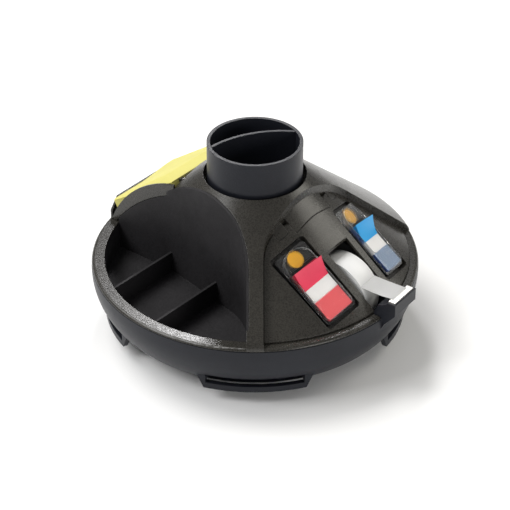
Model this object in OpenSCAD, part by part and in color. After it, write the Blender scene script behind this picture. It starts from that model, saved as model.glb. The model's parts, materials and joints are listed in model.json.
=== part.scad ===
// Rotating desk organizer: a domed turntable body with a pen cup, an open storage scoop, a flag panel,
// a tape dispenser and a tilting note holder. It spins on a low base plate.
// Millimetres, +Z up, X to the right and Y away from the viewer, origin on the desk under the pivot.
// Angles are azimuths round the pivot, counted from +X towards +Y.

/* [Shell] */
// Radius of the seam between the dome and the bowl
seam_r = 129; // [120:0.5:140]
// Height of the seam above the desk
seam_z = 56.3; // [48:0.1:66]
// Slope of the dome below the horizontal, in degrees
dome_slope = 39; // [36:0.5:41]
// Radius of the round shoulder above the seam
shoulder_r = 9.3; // [7:0.1:11]
// Wall thickness of the dome
dome_wall = 2.5; // [2:0.1:3.2]
// Radius of the hole round the pen cup
dome_hole_r = 40; // [39.2:0.1:41]
// Gap left open as the shadow line along the seam
seam_gap = 0.5; // [0.2:0.1:1]
// Width of the rim, from its outer edge to the dome's openings
rim_w = 10.2; // [8:0.1:14]
// Height of the flat rim above the seam
rim_rise = 2.2; // [1.6:0.1:3]
// Radius on the outer edge of the flat rim
rim_round = 2.2; // [1:0.1:3]

/* [Bowl] */
// Radius of the arc of the bowl's side
bowl_arc_r = 46.8; // [42:0.1:60]
// Height of the widest point of the bowl's side
bowl_belly_z = 51.5; // [46:0.1:55]
// How far the bowl bulges past the seam
bowl_bulge = 0.3; // [0:0.1:2]
// Height of the bowl's underside above the desk
bowl_under_z = 12.9; // [11:0.1:15]
// Wall thickness of the bowl's side
bowl_wall = 2.6; // [2:0.1:3.5]
// Thickness of the bowl's floor
bowl_floor_t = 2.6; // [2:0.1:4]
// Thickness of the bowl's hub round the pivot
hub_t = 4; // [3:0.1:6]
// Radius of the bowl's hub
hub_r = 20; // [16:0.5:26]

/* [Finger hoops] */
// Directions of the hoops round the bowl
hoop_az = [-90, -12.4, 54, 126, 192.4];
// Hoops: outer face of the bar, inwards from the seam
hoop_in = 9; // [8.5:0.1:9.5]
// Half of the angle that a hoop's finger hole spans, in degrees
hoop_half = 18.2; // [16:0.2:20]
// Height of a hoop's bottom above the desk
hoop_z = 12; // [11.5:0.1:12.4]
// Height of a hoop's bar
hoop_bar_h = 5; // [4:0.1:5.6]
// Radial width of a hoop's bar
hoop_bar_w = 4; // [3:0.1:4.4]
// Height of the finger hole above the bar
hoop_hole_h = 8.4; // [7:0.1:9]
// Width of a hoop's struts at the bottom
strut_w = 1.6; // [1.4:0.1:3]
// Lean of the struts' outer faces, in degrees
strut_lean = 26; // [15:1:32]

/* [Base and bearing] */
// Radius of the base plate
base_r = 82; // [70:0.5:92]
// Thickness of the base plate
base_t = 3; // [2.5:0.1:4]
// Height of the feet below the base plate
foot_h = 2; // [1.5:0.1:3]
// Radius of a foot
foot_r = 9; // [6:0.1:12]
// Depth of the recess that holds a foot
foot_recess = 0.8; // [0.4:0.1:1.2]
// Number of feet
foot_count = 5; // [3:1:6]
// Radius of the circle of feet
foot_circle_r = 70; // [58:0.5:72]
// Middle radius of the glide ring
glide_r = 62; // [50:0.5:70]
// Radial width of the glide ring
glide_w = 8; // [5:0.1:12]
// Thickness of the glide ring
glide_t = 3; // [2:0.1:4]
// Depth of the glide ring's seat in the base
glide_seat = 1; // [0.5:0.1:2]
// Vertical play between the glide ring and the bowl
glide_play = 0.3; // [0.2:0.05:0.6]
// Radius of the pivot post
post_r = 9; // [7:0.1:12]
// Radial clearance of the pivot
pivot_clear = 0.08; // [0.02:0.01:0.1]
// Vertical play under the pivot washer
washer_play = 0.3; // [0.2:0.05:0.6]
// Radius of the pivot washer
washer_r = 14; // [12:0.1:18]
// Thickness of the pivot washer
washer_t = 1.5; // [1:0.1:2.5]
// Shank radius of the pivot screw
pivot_screw_r = 2; // [1.5:0.1:2.5]

/* [Assembly screws] */
// Shank radius of the screws that join the shells
screw_r = 1.5; // [1.2:0.1:2]
// Radius of the screw heads
screw_head_r = 2.9; // [2.5:0.1:3.5]
// Height of the screw heads
screw_head_h = 2.2; // [1.5:0.1:3]
// Radius of the pillars that the screws pass through
pillar_r = 4.6; // [4.2:0.1:5.5]
// Screw circle, inwards from the seam
screw_in = 31; // [29:0.5:35]
// Height above the desk at which the pillars meet the dome's bosses
pillar_top_z = 40; // [34:0.5:46]
// Depth of the screws in the bosses
screw_bite = 8; // [5:0.5:9]
// Depth of the screw heads in the pillars
head_sink = 7; // [4:0.5:9]

/* [Pen cup] */
// Outer radius of the pen cup
cup_r = 37; // [34:0.1:38]
// Wall thickness of the pen cup
cup_wall = 2.8; // [2:0.1:3.5]
// Height of the cup's rim above the desk
cup_top_z = 160.7; // [140:0.1:180]
// Height of the cup's underside above the desk
cup_under_z = 32; // [28:0.5:50]
// Thickness of the cup's floor
cup_floor_t = 2.5; // [2:0.1:4]
// Radius of the arc of the divider
divider_arc_r = 73; // [60:0.5:90]
// Distance of the divider's arc centre from the cup's axis
divider_arc_off = 60.8; // [50:0.1:80]
// Azimuth of the divider's arc centre
divider_arc_az = -69.7; // [-90:0.1:-50]
// Thickness of the divider
divider_t = 2.6; // [2:0.1:3.5]
// Gap between the cup and the parts that locate it
cup_fit = 0.1; // [0.05:0.01:0.2]
// Width of the seat under the cup
seat_w = 4; // [3:0.5:8]
// Height of the lip round the seat
seat_lip = 5; // [3:0.5:10]
// Height of the collar that holds the cup
collar_h = 7; // [5:0.5:12]
// Depth of the dark gap between the dome and the cup
collar_depth = 18; // [10:0.5:24]
// Wall thickness of the collar's tube
collar_wall = 2.2; // [1.8:0.1:2.4]

/* [Storage scoop] */
// Width of the rib between the scoop and the flag panel
rib_w = 12.6; // [10:0.1:16]
// Azimuth that the scoop's wall beside the cup faces
scoop_back_az = 220; // [216:0.5:224]
// Distance of that wall from the pivot
scoop_back_d = 44.9; // [44.8:0.05:48]
// Radius of the scoop's corner beside the rib
scoop_round = 60; // [40:1:70]
// Radius of the bend beside the notes holder
scoop_bend = 110; // [60:1:130]
// Distance of the straight wall beside the notes holder from the pivot
scoop_side_d = 35.5; // [34:0.1:37]
// Wall thickness of the storage tray
tray_wall = 1.5; // [1.2:0.1:2]
// Thickness of the tray's floor
tray_floor_t = 2; // [1.5:0.1:3]
// Height of the tray's floor above the desk
tray_floor_z = 35; // [30:0.5:40]
// Height of the dividers above the tray's floor
divider_h = 18; // [12:0.5:20]
// Direction of the dividers
divider_az = 49.5; // [44:0.5:56]
// Distances of the dividers from the pivot
divider_offsets = [1.7, 56.3];
// Thickness of the tray's dividers
tray_divider_t = 2; // [1.5:0.1:3]
// Gap round the tray where it stands in the dome
tray_gap = 0.15; // [0.1:0.05:0.3]
// Width of the flange that holds the tray under the dome
tray_flange_w = 3.5; // [2:0.1:5]
// Thickness of that flange
tray_flange_t = 1.6; // [1.2:0.1:2.5]

/* [Flag panel] */
// Azimuth of the middle of the flag panel
flag_az = -36; // [-37:0.5:-35]
// Distance of the panel's arched edge from the pivot
flag_arch_d = 43.5; // [43:0.1:46]
// Radius of the arch's corners
flag_round = 30; // [20:1:40]
// Depth of the panel below the dome, square to it
flag_depth = 5; // [4:0.1:6]
// Thickness of the panel
panel_t = 2; // [1.6:0.1:2.4]
// Gap round the panel
panel_gap = 0.4; // [0.35:0.05:0.8]
// Recess of the flag panel: its outer edge, inwards from the seam
flag_rim_w = 8.6; // [8.2:0.1:9]
// Flag panel's outer edge, inwards from the seam
panel_out_w = 7.2; // [6.5:0.1:7.6]
// Width of the ledge that carries the panel
ledge_w = 3.2; // [2:0.1:4]
// Thickness of the walls and ledges under the dome
frame_wall = 2.2; // [1.8:0.1:2.4]
// Gap between the panel and its ledge
ledge_gap = 0.3; // [0.25:0.05:0.5]
// Width of the slot for the tape
slot_w = 26; // [25:0.1:27]
// Tape slot: how far it starts inwards of the roll's middle
slot_lead = 5; // [3:0.5:8]

/* [Flag panel hinge] */
// Hinge axis, outwards from the arch
fh_out = 3.5; // [3.4:0.1:4]
// Hinge axis, below the dome's face
fh_drop = 15.14; // [14.9:0.02:15.5]
// Radius of the hinge pin
fh_pin_r = 1.25; // [1:0.05:1.4]
// Radial running clearance of the hinge pins
pin_clear = 0.06; // [0.02:0.01:0.1]
// Radius of the panel's hinge knuckles
fh_knuckle_r = 3.2; // [2.8:0.1:3.4]
// Radius round the axis at which the fixed bridge ends
fh_bridge_r = 8.3; // [8.2:0.1:8.6]
// Radius round the axis at which the bridge's outer tabs end
fh_tab_r = 4.2; // [4:0.1:4.6]
// Side gap of the hinge arms
fh_gap = 0.35; // [0.3:0.05:0.5]
// Start and end of the left hinge arm across the panel
fh_arm_a = [-26.8, -22.8];
// Start and end of the right hinge arm across the panel
fh_arm_b = [22.6, 30.8];
// Width of the knuckles under the arms
fh_knuckle_w = 3.6; // [3:0.1:4]
// Width of the lugs beside the knuckles
fh_lug_w = 2.6; // [2:0.1:3.5]
// Start and end of the fixed bridge across the panel
fh_bridge_span = [-37, 41];

/* [Flag dispensers] */
// Angle between the panel's middle and each dispenser
pocket_az = 24; // [22:0.5:26]
// Middle of a pocket, inwards from the seam
pocket_in = 37.7; // [37.4:0.1:39]
// Turn of each dispenser towards the panel's middle, in degrees
pocket_turn = 19; // [16:0.5:22]
// Length of the pocket
pocket_l = 68.5; // [66:0.1:69]
// Width of the pocket
pocket_w = 35.4; // [34:0.1:36]
// Depth of the pocket below the panel's face
pocket_depth = 6.4; // [5:0.1:7]
// Wall thickness of the pocket
pocket_wall = 1.4; // [1:0.1:1.8]
// Corner radius of the pocket
pocket_round = 3; // [2:0.1:5]
// Length of the dispenser's case
case_l = 62.5; // [60:0.1:64]
// Width of the dispenser's case
case_w = 31.5; // [30:0.1:32.5]
// Height of the dispenser's case
case_h = 5; // [4:0.1:6]
// Wall thickness of the dispenser's case
case_wall = 1; // [0.8:0.1:1.4]
// Thickness of the clear cover
clear_t = 0.9; // [0.7:0.1:1.2]
// Height of the clear cover above the case
clear_h = 3; // [2.4:0.1:4]
// Length of a stick-on flag
flag_l = 43.2; // [40:0.1:46]
// Width of a stick-on flag
flag_w = 25.4; // [24:0.1:27]
// Thickness of the stack of flags
flag_stack_t = 3.6; // [3:0.1:3.9]
// Distance of the stack from the case's upper end
flag_start = 17; // [14:0.1:18]
// Length of the cover's window
window_l = 34; // [30:0.5:36]
// Length of the tab that stands out of the window
tab_l = 17; // [14:0.5:20]
// Rise of the tab's free end, in degrees
tab_rise = 12; // [8:1:20]

/* [Tape] */
// Roll's axis, inwards from the seam
roll_in = 47; // [46:0.5:49]
// Height of the roll's axis above the desk
roll_z = 57.1; // [54:0.1:58]
// Outer radius of the tape roll
roll_r = 29; // [22:0.1:29.5]
// Width of the tape
tape_w = 19; // [18:0.1:19.5]
// Inner radius of the roll's core
core_in_r = 12.7; // [12:0.1:13]
// Wall thickness of the core
core_t = 1.6; // [1:0.1:2.5]
// Wall thickness of the hub's rim
hub_rim_t = 1.6; // [1.2:0.1:2.5]
// Radius of the hub's axle
axle_r = 3; // [2.5:0.1:4]
// Radial clearance of the axle in the cradle
axle_clear = 0.08; // [0.02:0.01:0.1]
// Side gap between the roll and the cradle
cradle_gap = 0.7; // [0.5:0.1:1]
// Thickness of the cradle's cheeks
cheek_t = 2.4; // [2:0.1:3]
// Width of a cheek at its foot
cheek_foot = 34; // [26:0.5:40]
// Radius of a cheek's round head
cheek_head_r = 7.5; // [6:0.1:9]
// Thickness of the cradle's foot plate
cradle_foot_t = 2; // [1.5:0.1:3]
// Thickness of the loose length of tape
tail_t = 0.4; // [0.3:0.05:0.5]
// Angle above the roll's axis at which the tape leaves the roll, in degrees
tail_angle = 35; // [25:1:45]

/* [Cutter] */
// Blade's edge, outwards from the seam
blade_out = 10; // [7:0.5:13]
// Height of the blade's top face above the desk
blade_z = 74; // [70:0.1:78]
// Length of the blade across the tape
blade_l = 26; // [24:0.1:28]
// Depth of the blade along the tape
blade_d = 6; // [4:0.1:8]
// Thickness of the blade
blade_t = 0.8; // [0.6:0.1:1.2]
// Pitch of the blade's teeth
tooth_p = 1.3; // [1:0.1:2]
// Depth of the blade's teeth
tooth_d = 1; // [0.6:0.1:1.4]
// Width of the cutter's nose
nose_w = 29; // [28:0.1:32]
// Wall thickness of the nose
nose_wall = 2.2; // [1.8:0.1:3]
// Gap between the nose and the dome
nose_gap = 0.4; // [0.3:0.05:0.8]

/* [Notes holder] */
// Direction in which the notes slope down
notes_az = 141; // [140:0.5:142]
// Side length of the notes
notes_size = 76; // [76:0.1:76.5]
// Slope of the notes below the horizontal, in degrees
notes_slope = 33.5; // [33:0.5:35]
// Upper edge of the pad, inwards from the seam
notes_in = 72.3; // [72:0.1:72.5]
// Upper edge of the pad, below the dome's face
notes_drop = 2.28; // [1.5:0.02:3]
// Thickness of the pad
pad_t = 6.4; // [4:0.1:6.8]
// Thickness of the plate under the pad
backplate_t = 1.5; // [1.2:0.1:2]
// Gap between the pad and the holder's sides
pad_gap = 0.4; // [0.3:0.05:0.6]
// Thickness of the holder's sides
holder_wall = 1.8; // [1.5:0.1:2]
// Gap round the holder
holder_gap = 0.4; // [0.35:0.05:0.6]
// Holder's outer edge, inwards from the seam
holder_out_w = 0.6; // [0.2:0.1:1]
// Radius of the arc along the holder's top
holder_top_r = 95.9; // [92:0.1:100]
// Arc over the holder's sides: its middle, inwards from the seam
holder_top_in = 97.1; // [95:0.1:99]
// Height of that arc's centre above the desk
holder_top_z = 23.4; // [22:0.1:24]
// Radius of the arc along the holder's lower edge
holder_low_r = 138; // [134:0.5:142]
// Arc under the holder's sides: its middle, inwards from the seam
holder_low_in = 125.4; // [124:0.1:127]
// Height of that arc's centre above the desk
holder_low_z = -21.1; // [-23:0.1:-20]
// Rise of the outer stop above the notes
stop_rise = 1.4; // [0.5:0.1:3]
// Thickness of the sheet that lies on the pad
sheet_t = 0.5; // [0.4:0.1:0.8]
// Rise of the sheet in the middle
sheet_bulge = 5; // [3:0.1:6]
// Radius of the holder's hinge pin
nh_pin_r = 1; // [0.8:0.05:1.1]
// Radius of the holder's hinge bar
nh_bar_r = 2; // [1.8:0.05:2.1]

// Hinge bar, across the holder
nh_span = [-26, 26];

// Hinge axis, behind the pad's upper edge
nh_back = 2.6; // [2.5:0.05:3]

// Hinge axis, below the pad's top face
nh_low = 3; // [2:0.1:4]

// Lip of the holder behind the pad's upper edge
lip_t = 1.6; // [1.2:0.1:1.8]
// Width of each hinge lug
nh_lug_w = 3; // [2.4:0.1:4]
// Dome lugs of the hinge, across the holder
nh_lug_t = [-21, 18];

/* [Hidden] */
$fn = 96;
// Small overlap that lets neighbouring solids fuse or cuts pass through
eps = 0.02;
// How far a corner's round is let out
round_slack = 0.04;
// Size of the blocks that stand for half planes
big = 400;
black = [0.10, 0.10, 0.11];
bluish_black = [0.13, 0.14, 0.17];

// Dome surface
sin_s = sin(dome_slope);
cos_s = cos(dome_slope);
shoulder_c = seam_r - shoulder_r;
rim_in_r = seam_r - rim_w;
rim_z = seam_z + rim_rise;
rim_out_r = seam_r - 0.1 - rim_round;
dome_low_z = seam_z + seam_gap / 2;
bowl_top_z = seam_z - seam_gap / 2;
bowl_belly_r = seam_r + bowl_bulge;
bowl_arc_c = bowl_belly_r - bowl_arc_r;
hoop_r = seam_r - hoop_in;
bowl_in_z = bowl_under_z + bowl_floor_t;
hub_top_z = bowl_under_z + hub_t;

// Height of the surface d below the dome, square to its slope, at radius r
function cone_z(r, d) = seam_z + (shoulder_r - d - (r - shoulder_c) * sin_s) / cos_s;

// Point where two lines meet, each given by the azimuth that it faces and its distance from the pivot
function meet(a1, d1, a2, d2) = [d1 * sin(a2) - d2 * sin(a1), d2 * cos(a1) - d1 * cos(a2)] / sin(a2 - a1);
function unit(a) = [cos(a), sin(a)];

// Base and pivot
base_z = foot_h;
base_top_z = base_z + base_t;
glide_z = bowl_under_z - glide_play - glide_t;
post_top_z = hub_top_z + washer_play;
pivot_screw_z = post_top_z + washer_t;

nose_in_u = rim_in_r + 2.5;

// Pen cup
cup_in_r = cup_r - cup_wall;
collar_top_z = cone_z(dome_hole_r, 0) - collar_depth;

// Flag panel, in its own frame: u runs down its middle, t across it
flag_rim_r = seam_r - flag_rim_w;
panel_out_r = seam_r - panel_out_w;
pocket_r = seam_r - pocket_in;
fh_u = flag_arch_d + fh_out;
fh_z = cone_z(fh_u, 0) - fh_drop;
flag_side_az = 2 * flag_az;
panel_low = flag_depth + panel_t;
ledge_low = panel_low + ledge_gap;
frame_low = ledge_low + frame_wall;
hinge_room = fh_bridge_span[1] + 6;
hinge_step = 2.5;

// Tape
roll_u = seam_r - roll_in;
blade_u = seam_r + blade_out;
slot_in = roll_u - slot_lead;
roll_in_r = core_in_r + core_t;
cheek_in = tape_w / 2 + cradle_gap;
tail_start = [roll_u + (roll_r + 0.4) * cos(tail_angle), roll_z + (roll_r + 0.4) * sin(tail_angle)];
tail_end = [blade_u - 2.5, blade_z + 0.1];

// Notes holder, in its own frame: u runs down the slope, t across it towards the scoop
notes_u = seam_r - notes_in;
notes_z = cone_z(notes_u, 0) - notes_drop;
holder_out_r = seam_r - holder_out_w;
holder_top_u = seam_r - holder_top_in;
holder_low_u = seam_r - holder_low_in;
holder_t = scoop_side_d - holder_gap;
pad_left = holder_t - holder_wall - pad_gap;
pad_right = pad_left - notes_size;
holder_right = pad_right - pad_gap - holder_wall;
notes_len = notes_size * cos(notes_slope);
notes_out_u = notes_u + notes_len;
notes_out_z = notes_z - notes_size * sin(notes_slope);
stop_u = notes_out_u + pad_gap;
floor_in = 1;
holder_in_u = notes_u - (pad_t + pad_gap / 4) * sin(notes_slope);
nh_u = notes_u - nh_back * cos(notes_slope) - nh_low * sin(notes_slope);
nh_z = notes_z + nh_back * sin(notes_slope) - nh_low * cos(notes_slope);
nh_in_u = nh_u - nh_bar_r - pad_gap;
nh_in_t = nh_span + [-0.5, 0.5];
scoop_side_az = notes_az + 90;

// Screw places: radius, azimuth and the height at which the pillar ends
screw_circle_r = seam_r - screw_in;
shell_screws = [[screw_circle_r, -90, pillar_top_z], [screw_circle_r, 27, pillar_top_z],
    [screw_circle_r, 82, pillar_top_z]];
tray_screw = [seam_r - 37, 197, 24];
screws = concat(shell_screws, [tray_screw]);

// Plan shapes

// Everything at least d from the pivot in the direction a
module half_plane(a, d) {
    rotate(a)
        translate([d, -big / 2])
            square(big);
}

// The sharp corner between two half planes, less its round of radius rho, which is let out a hair so
// that it crosses the walls and doesn't only touch them
module corner_cut(a1, d1, a2, d2, rho) {
    tip = meet(a1, d1, a2, d2);
    mid = meet(a1, d1 + rho, a2, d2 + rho);
    difference() {
        polygon([tip + (tip - mid) / rho, mid - (rho + 0.5) * unit(a1), mid, mid - (rho + 0.5) * unit(a2)]);
        translate(mid)
            circle(r = rho + round_slack, $fn = 180);
    }
}

// Plan of the scoop, grown by g on all sides
module storage_plan(g) {
    difference() {
        intersection() {
            half_plane(180, rib_w / 2 - g);
            half_plane(scoop_back_az, scoop_back_d - g);
            half_plane(scoop_side_az, scoop_side_d - g);
        }
        corner_cut(180, rib_w / 2 - g, scoop_back_az, scoop_back_d - g, scoop_round + g);
        corner_cut(scoop_back_az, scoop_back_d - g, scoop_side_az, scoop_side_d - g, scoop_bend + g);
    }
}

// Plan of the recess of the flag panel, grown by g on all sides
module flag_plan(g) {
    difference() {
        intersection() {
            half_plane(0, rib_w / 2 - g);
            half_plane(flag_az, flag_arch_d - g);
            half_plane(flag_side_az, rib_w / 2 - g);
        }
        corner_cut(0, rib_w / 2 - g, flag_az, flag_arch_d - g, flag_round + g);
        corner_cut(flag_side_az, rib_w / 2 - g, flag_az, flag_arch_d - g, flag_round + g);
    }
}

// Plan of the notes holder with its hinge, grown by g on all sides
module notes_plan(g) {
    rotate(notes_az)
        union() {
            translate([holder_in_u - g, holder_right - g])
                square([big, holder_t - holder_right + 2 * g]);
            translate([nh_in_u - g, nh_in_t[0] - g])
                square([big, nh_in_t[1] - nh_in_t[0] + 2 * g]);
        }
}

module prism(z0 = -1, z1 = 250) {
    translate([0, 0, z0])
        linear_extrude(z1 - z0)
            children();
}

module disc(r, z0 = -1, z1 = 250) {
    translate([0, 0, z0])
        cylinder(r = r, h = z1 - z0, $fn = 180);
}

module ring(r_in, r_out, z0, z1) {
    difference() {
        disc(r_out, z0, z1);
        disc(r_in, z0 - 1, z1 + 1);
    }
}

module revolve() {
    rotate_extrude($fn = 180)
        children();
}

// Frames

module flag_frame() {
    rotate([0, 0, flag_az])
        children();
}

module notes_frame() {
    rotate([0, 0, notes_az])
        children();
}

// A profile drawn with u to the right and z up, run across the frame from t0 to t1
module across(t0, t1) {
    translate([0, t1, 0])
        rotate([90, 0, 0])
            linear_extrude(t1 - t0)
                children();
}

// Frame of the pad's top face: x down the slope, y across it, z square to it
module pad_frame() {
    notes_frame()
        translate([notes_u, 0, notes_z])
            rotate([0, notes_slope, 0])
                children();
}

// Frame of a dispenser's pocket, on the panel's face: x down the slope, z square to the panel
module pocket_frame(side) {
    rotate([0, 0, flag_az + side * pocket_az])
        translate([pocket_r, 0, cone_z(pocket_r, flag_depth)])
            rotate([0, dome_slope, 0])
                rotate([0, 0, -side * pocket_turn])
                    children();
}

// A block with round corners, centred on x and y
module round_block(l, w, r, z0, z1) {
    translate([0, 0, z0])
        linear_extrude(z1 - z0)
            union() {
                square([l - 2 * r, w], center = true);
                square([l, w - 2 * r], center = true);
                for (sx = [-1, 1], sy = [-1, 1])
                    translate([sx * (l / 2 - r), sy * (w / 2 - r)])
                        circle(r = r);
            }
}

// Solids of the shell

// Section of everything that lies at least d below the dome's face
module under_dome_2d(d) {
    rho = max(shoulder_r - d, 0);
    out = rho > 0 ? shoulder_c + rho * sin_s : seam_r - d;
    polygon([[0, -1], [seam_r - d, -1], [seam_r - d, seam_z], [min(shoulder_c, out), seam_z],
        [out, cone_z(out, d)], [0, cone_z(0, d)]]);
    if (rho > 0)
        translate([shoulder_c, seam_z])
            intersection() {
                circle(r = rho);
                square(rho + 1);
            }
}

module under_dome(d) {
    revolve()
        under_dome_2d(d);
}

// The layer between two depths below the dome's face
module dome_layer(d0, d1) {
    revolve()
        difference() {
            under_dome_2d(d0);
            under_dome_2d(d1);
        }
}

// The space above the flat rim, with the round of its outer edge
module above_rim() {
    revolve()
        difference() {
            translate([0, seam_z - 5])
                square([seam_r + 5, big]);
            square([rim_out_r, rim_z]);
            translate([rim_out_r, rim_z - rim_round])
                circle(r = rim_round);
        }
}

// The space above the panel's ledge, and above the rim outside it
module above_ledge() {
    intersection() {
        difference() {
            disc(seam_r + 5, rim_z);
            under_dome(ledge_low);
        }
        disc(panel_out_r + panel_gap, rim_z);
    }
    difference() {
        above_rim();
        disc(panel_out_r + panel_gap);
    }
}

// The space over the arc under the notes holder
module above_holder_arc(drop) {
    notes_frame()
        across(-100, 100)
            difference() {
                translate([20, rim_z])
                    square(big);
                translate([holder_low_u, holder_low_z])
                    circle(r = holder_low_r - drop, $fn = 240);
            }
}

// Radius of the bowl's outer face at height z, moved inwards by d
function bowl_r(z, d) = bowl_arc_c + sqrt(pow(bowl_arc_r - d, 2) - pow(z - bowl_belly_z, 2));

module bowl_solid(d, z0, z1) {
    revolve()
        intersection() {
            union() {
                translate([bowl_arc_c, bowl_belly_z])
                    circle(r = bowl_arc_r - d);
                square([bowl_arc_c, bowl_top_z + 20]);
            }
            translate([0, z0])
                square([big, z1 - z0]);
        }
}

// Side view of the cutter's nose, in the flag frame
module nose_2d() {
    top = blade_z - blade_t;
    difference() {
        polygon([[nose_in_u, seam_z - 9], [nose_in_u, seam_z + 4], [blade_u - 12, top], [blade_u + 1, top],
            [blade_u + 1, top - 10], [bowl_belly_r + 1.5, seam_z - 4], [bowl_belly_r - 1.5, seam_z - 10]]);
        // Concave run from the rim up to the blade
        translate([nose_in_u + 1.5, top + 9])
            circle(r = 14);
    }
}

// The hollow behind the nose, open towards the bowl
module nose_hollow_2d() {
    top = blade_z - blade_t - nose_wall;
    difference() {
        polygon([[nose_in_u - 5, seam_z - 4], [nose_in_u - 5, seam_z + 1], [nose_in_u, seam_z + 1],
            [blade_u - 12, top], [blade_u + 1 - nose_wall, top], [blade_u + 1 - nose_wall, top - 7],
            [bowl_belly_r + 0.5, seam_z - 4]]);
        translate([nose_in_u + 1.5, top + 9 + nose_wall])
            circle(r = 14 + nose_wall);
    }
}

// Sub-parts of the base

module base_plate() {
    color(black)
        difference() {
            union() {
                disc(base_r, base_z, base_top_z);
                ring(glide_r - glide_w / 2 - 1.5, glide_r + glide_w / 2 + 1.5, base_z, glide_z + glide_seat);
                disc(post_r, base_z, post_top_z);
                disc(post_r + 4, base_z, bowl_under_z - 1.5);
                for (k = [0:5])
                    rotate([0, 0, 60 * k])
                        translate([post_r, -1, base_z])
                            cube([glide_r - post_r - 4, 2, base_t + 2.5]);
            }
            ring(glide_r - glide_w / 2, glide_r + glide_w / 2, glide_z, bowl_under_z);
            disc(pivot_screw_r, base_top_z, post_top_z + 1);
            for (k = [0:foot_count - 1])
                rotate([0, 0, 90 + 360 * k / foot_count])
                    translate([foot_circle_r, 0, base_z - 1])
                        cylinder(r = foot_r, h = 1 + foot_recess);
        }
}

module base_feet() {
    color([0.2, 0.2, 0.2])
        for (k = [0:foot_count - 1])
            rotate([0, 0, 90 + 360 * k / foot_count])
                translate([foot_circle_r, 0, 0])
                    cylinder(r = foot_r, h = foot_h + foot_recess);
}

module glide_ring() {
    color("ivory")
        ring(glide_r - glide_w / 2, glide_r + glide_w / 2, glide_z, glide_z + glide_t);
}

module pivot_washer() {
    color("silver")
        ring(pivot_screw_r, washer_r, post_top_z, post_top_z + washer_t);
}

module pivot_screw() {
    color("silver") {
        disc(pivot_screw_r, base_top_z + 1, pivot_screw_z + eps);
        difference() {
            disc(2 * pivot_screw_r, pivot_screw_z, pivot_screw_z + 2.4);
            for (a = [0, 90])
                rotate([0, 0, a])
                    translate([-2.4, -0.4, pivot_screw_z + 1])
                        cube([4.8, 0.8, 3]);
        }
    }
}

// Sub-parts of the turning body

// One hoop, centred on +X: a bar with two ends that run up into the bowl
module hoop() {
    difference() {
        rotate([0, 0, -hoop_half - 8])
            rotate_extrude(angle = 2 * hoop_half + 16)
                translate([hoop_r - hoop_bar_w, hoop_z])
                    square([hoop_bar_w, bowl_under_z + 12 - hoop_z]);
        // Leaning ends of the struts
        for (s = [-1, 1])
            rotate([0, 0, s * hoop_half])
                translate([hoop_r, s * strut_w, hoop_z])
                    rotate([-s * strut_lean, 0, 0])
                        translate([-20, s > 0 ? 0 : -30, -30])
                            cube([50, 30, 60]);
    }
}

// Finger hole over the bar of a hoop, through the bowl's wall
module hoop_hole() {
    rotate([0, 0, -hoop_half])
        rotate_extrude(angle = 2 * hoop_half)
            translate([hoop_r - hoop_bar_w - 9, hoop_z + hoop_bar_h])
                square([hoop_bar_w + 20, hoop_hole_h]);
}

module pillar(p) {
    rotate([0, 0, p[1]])
        translate([p[0], 0, bowl_under_z + eps])
            cylinder(r = pillar_r, h = p[2] - bowl_under_z - eps);
}

module pillar_hole(p) {
    rotate([0, 0, p[1]])
        translate([p[0], 0, 0]) {
            cylinder(r = screw_r + 0.2, h = p[2] + 1);
            cylinder(r = screw_head_r + 0.3, h = bowl_under_z + head_sink + screw_head_h);
        }
}

module lower_bowl() {
    color(bluish_black)
        difference() {
            union() {
                difference() {
                    union() {
                        bowl_solid(0, bowl_under_z, bowl_top_z);
                        for (az = hoop_az)
                            rotate([0, 0, az])
                                hoop();
                    }
                    bowl_solid(bowl_wall, bowl_in_z, bowl_top_z + 1);
                }
                disc(hub_r, bowl_under_z, hub_top_z);
                // Seat of the pen cup
                ring(cup_r - seat_w, cup_r + cup_fit + 2, bowl_in_z - 0.5, cup_under_z);
                ring(cup_r + cup_fit, cup_r + cup_fit + 2, cup_under_z - 1, cup_under_z + seat_lip);
                for (p = screws)
                    pillar(p);
                flag_frame()
                    across(-nose_w / 2, nose_w / 2)
                        nose_2d();
            }
            flag_frame()
                across(-nose_w / 2 + nose_wall, nose_w / 2 - nose_wall)
                    nose_hollow_2d();
            disc(post_r + pivot_clear);
            for (az = hoop_az)
                rotate([0, 0, az])
                    hoop_hole();
            for (p = screws)
                pillar_hole(p);
        }
}

module boss(p, top) {
    rotate([0, 0, p[1]])
        translate([p[0], 0, p[2]])
            difference() {
                cylinder(r = pillar_r, h = top - p[2]);
                translate([0, 0, -1])
                    cylinder(r = screw_r, h = screw_bite + 1.5);
            }
}

// Hinge block under the dome's bridge, from t0 to t1
module flag_lug(t0, t1) {
    across(t0, t1)
        difference() {
            union() {
                translate([fh_u, fh_z])
                    circle(r = fh_knuckle_r - 0.2);
                translate([flag_arch_d - 1, fh_z])
                    square([fh_u + fh_knuckle_r - 0.2 - flag_arch_d + 1, fh_drop]);
            }
            translate([fh_u, fh_z])
                circle(r = fh_pin_r);
        }
}

// Side view of the bridge, out to a radius round the hinge axis
module bridge_2d(r) {
    union() {
        translate([0, fh_z - 10])
            square([fh_u, big]);
        translate([fh_u - 1, fh_z])
            square([hinge_step + 1, big]);
        translate([fh_u, fh_z])
            circle(r = r);
    }
}

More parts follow.
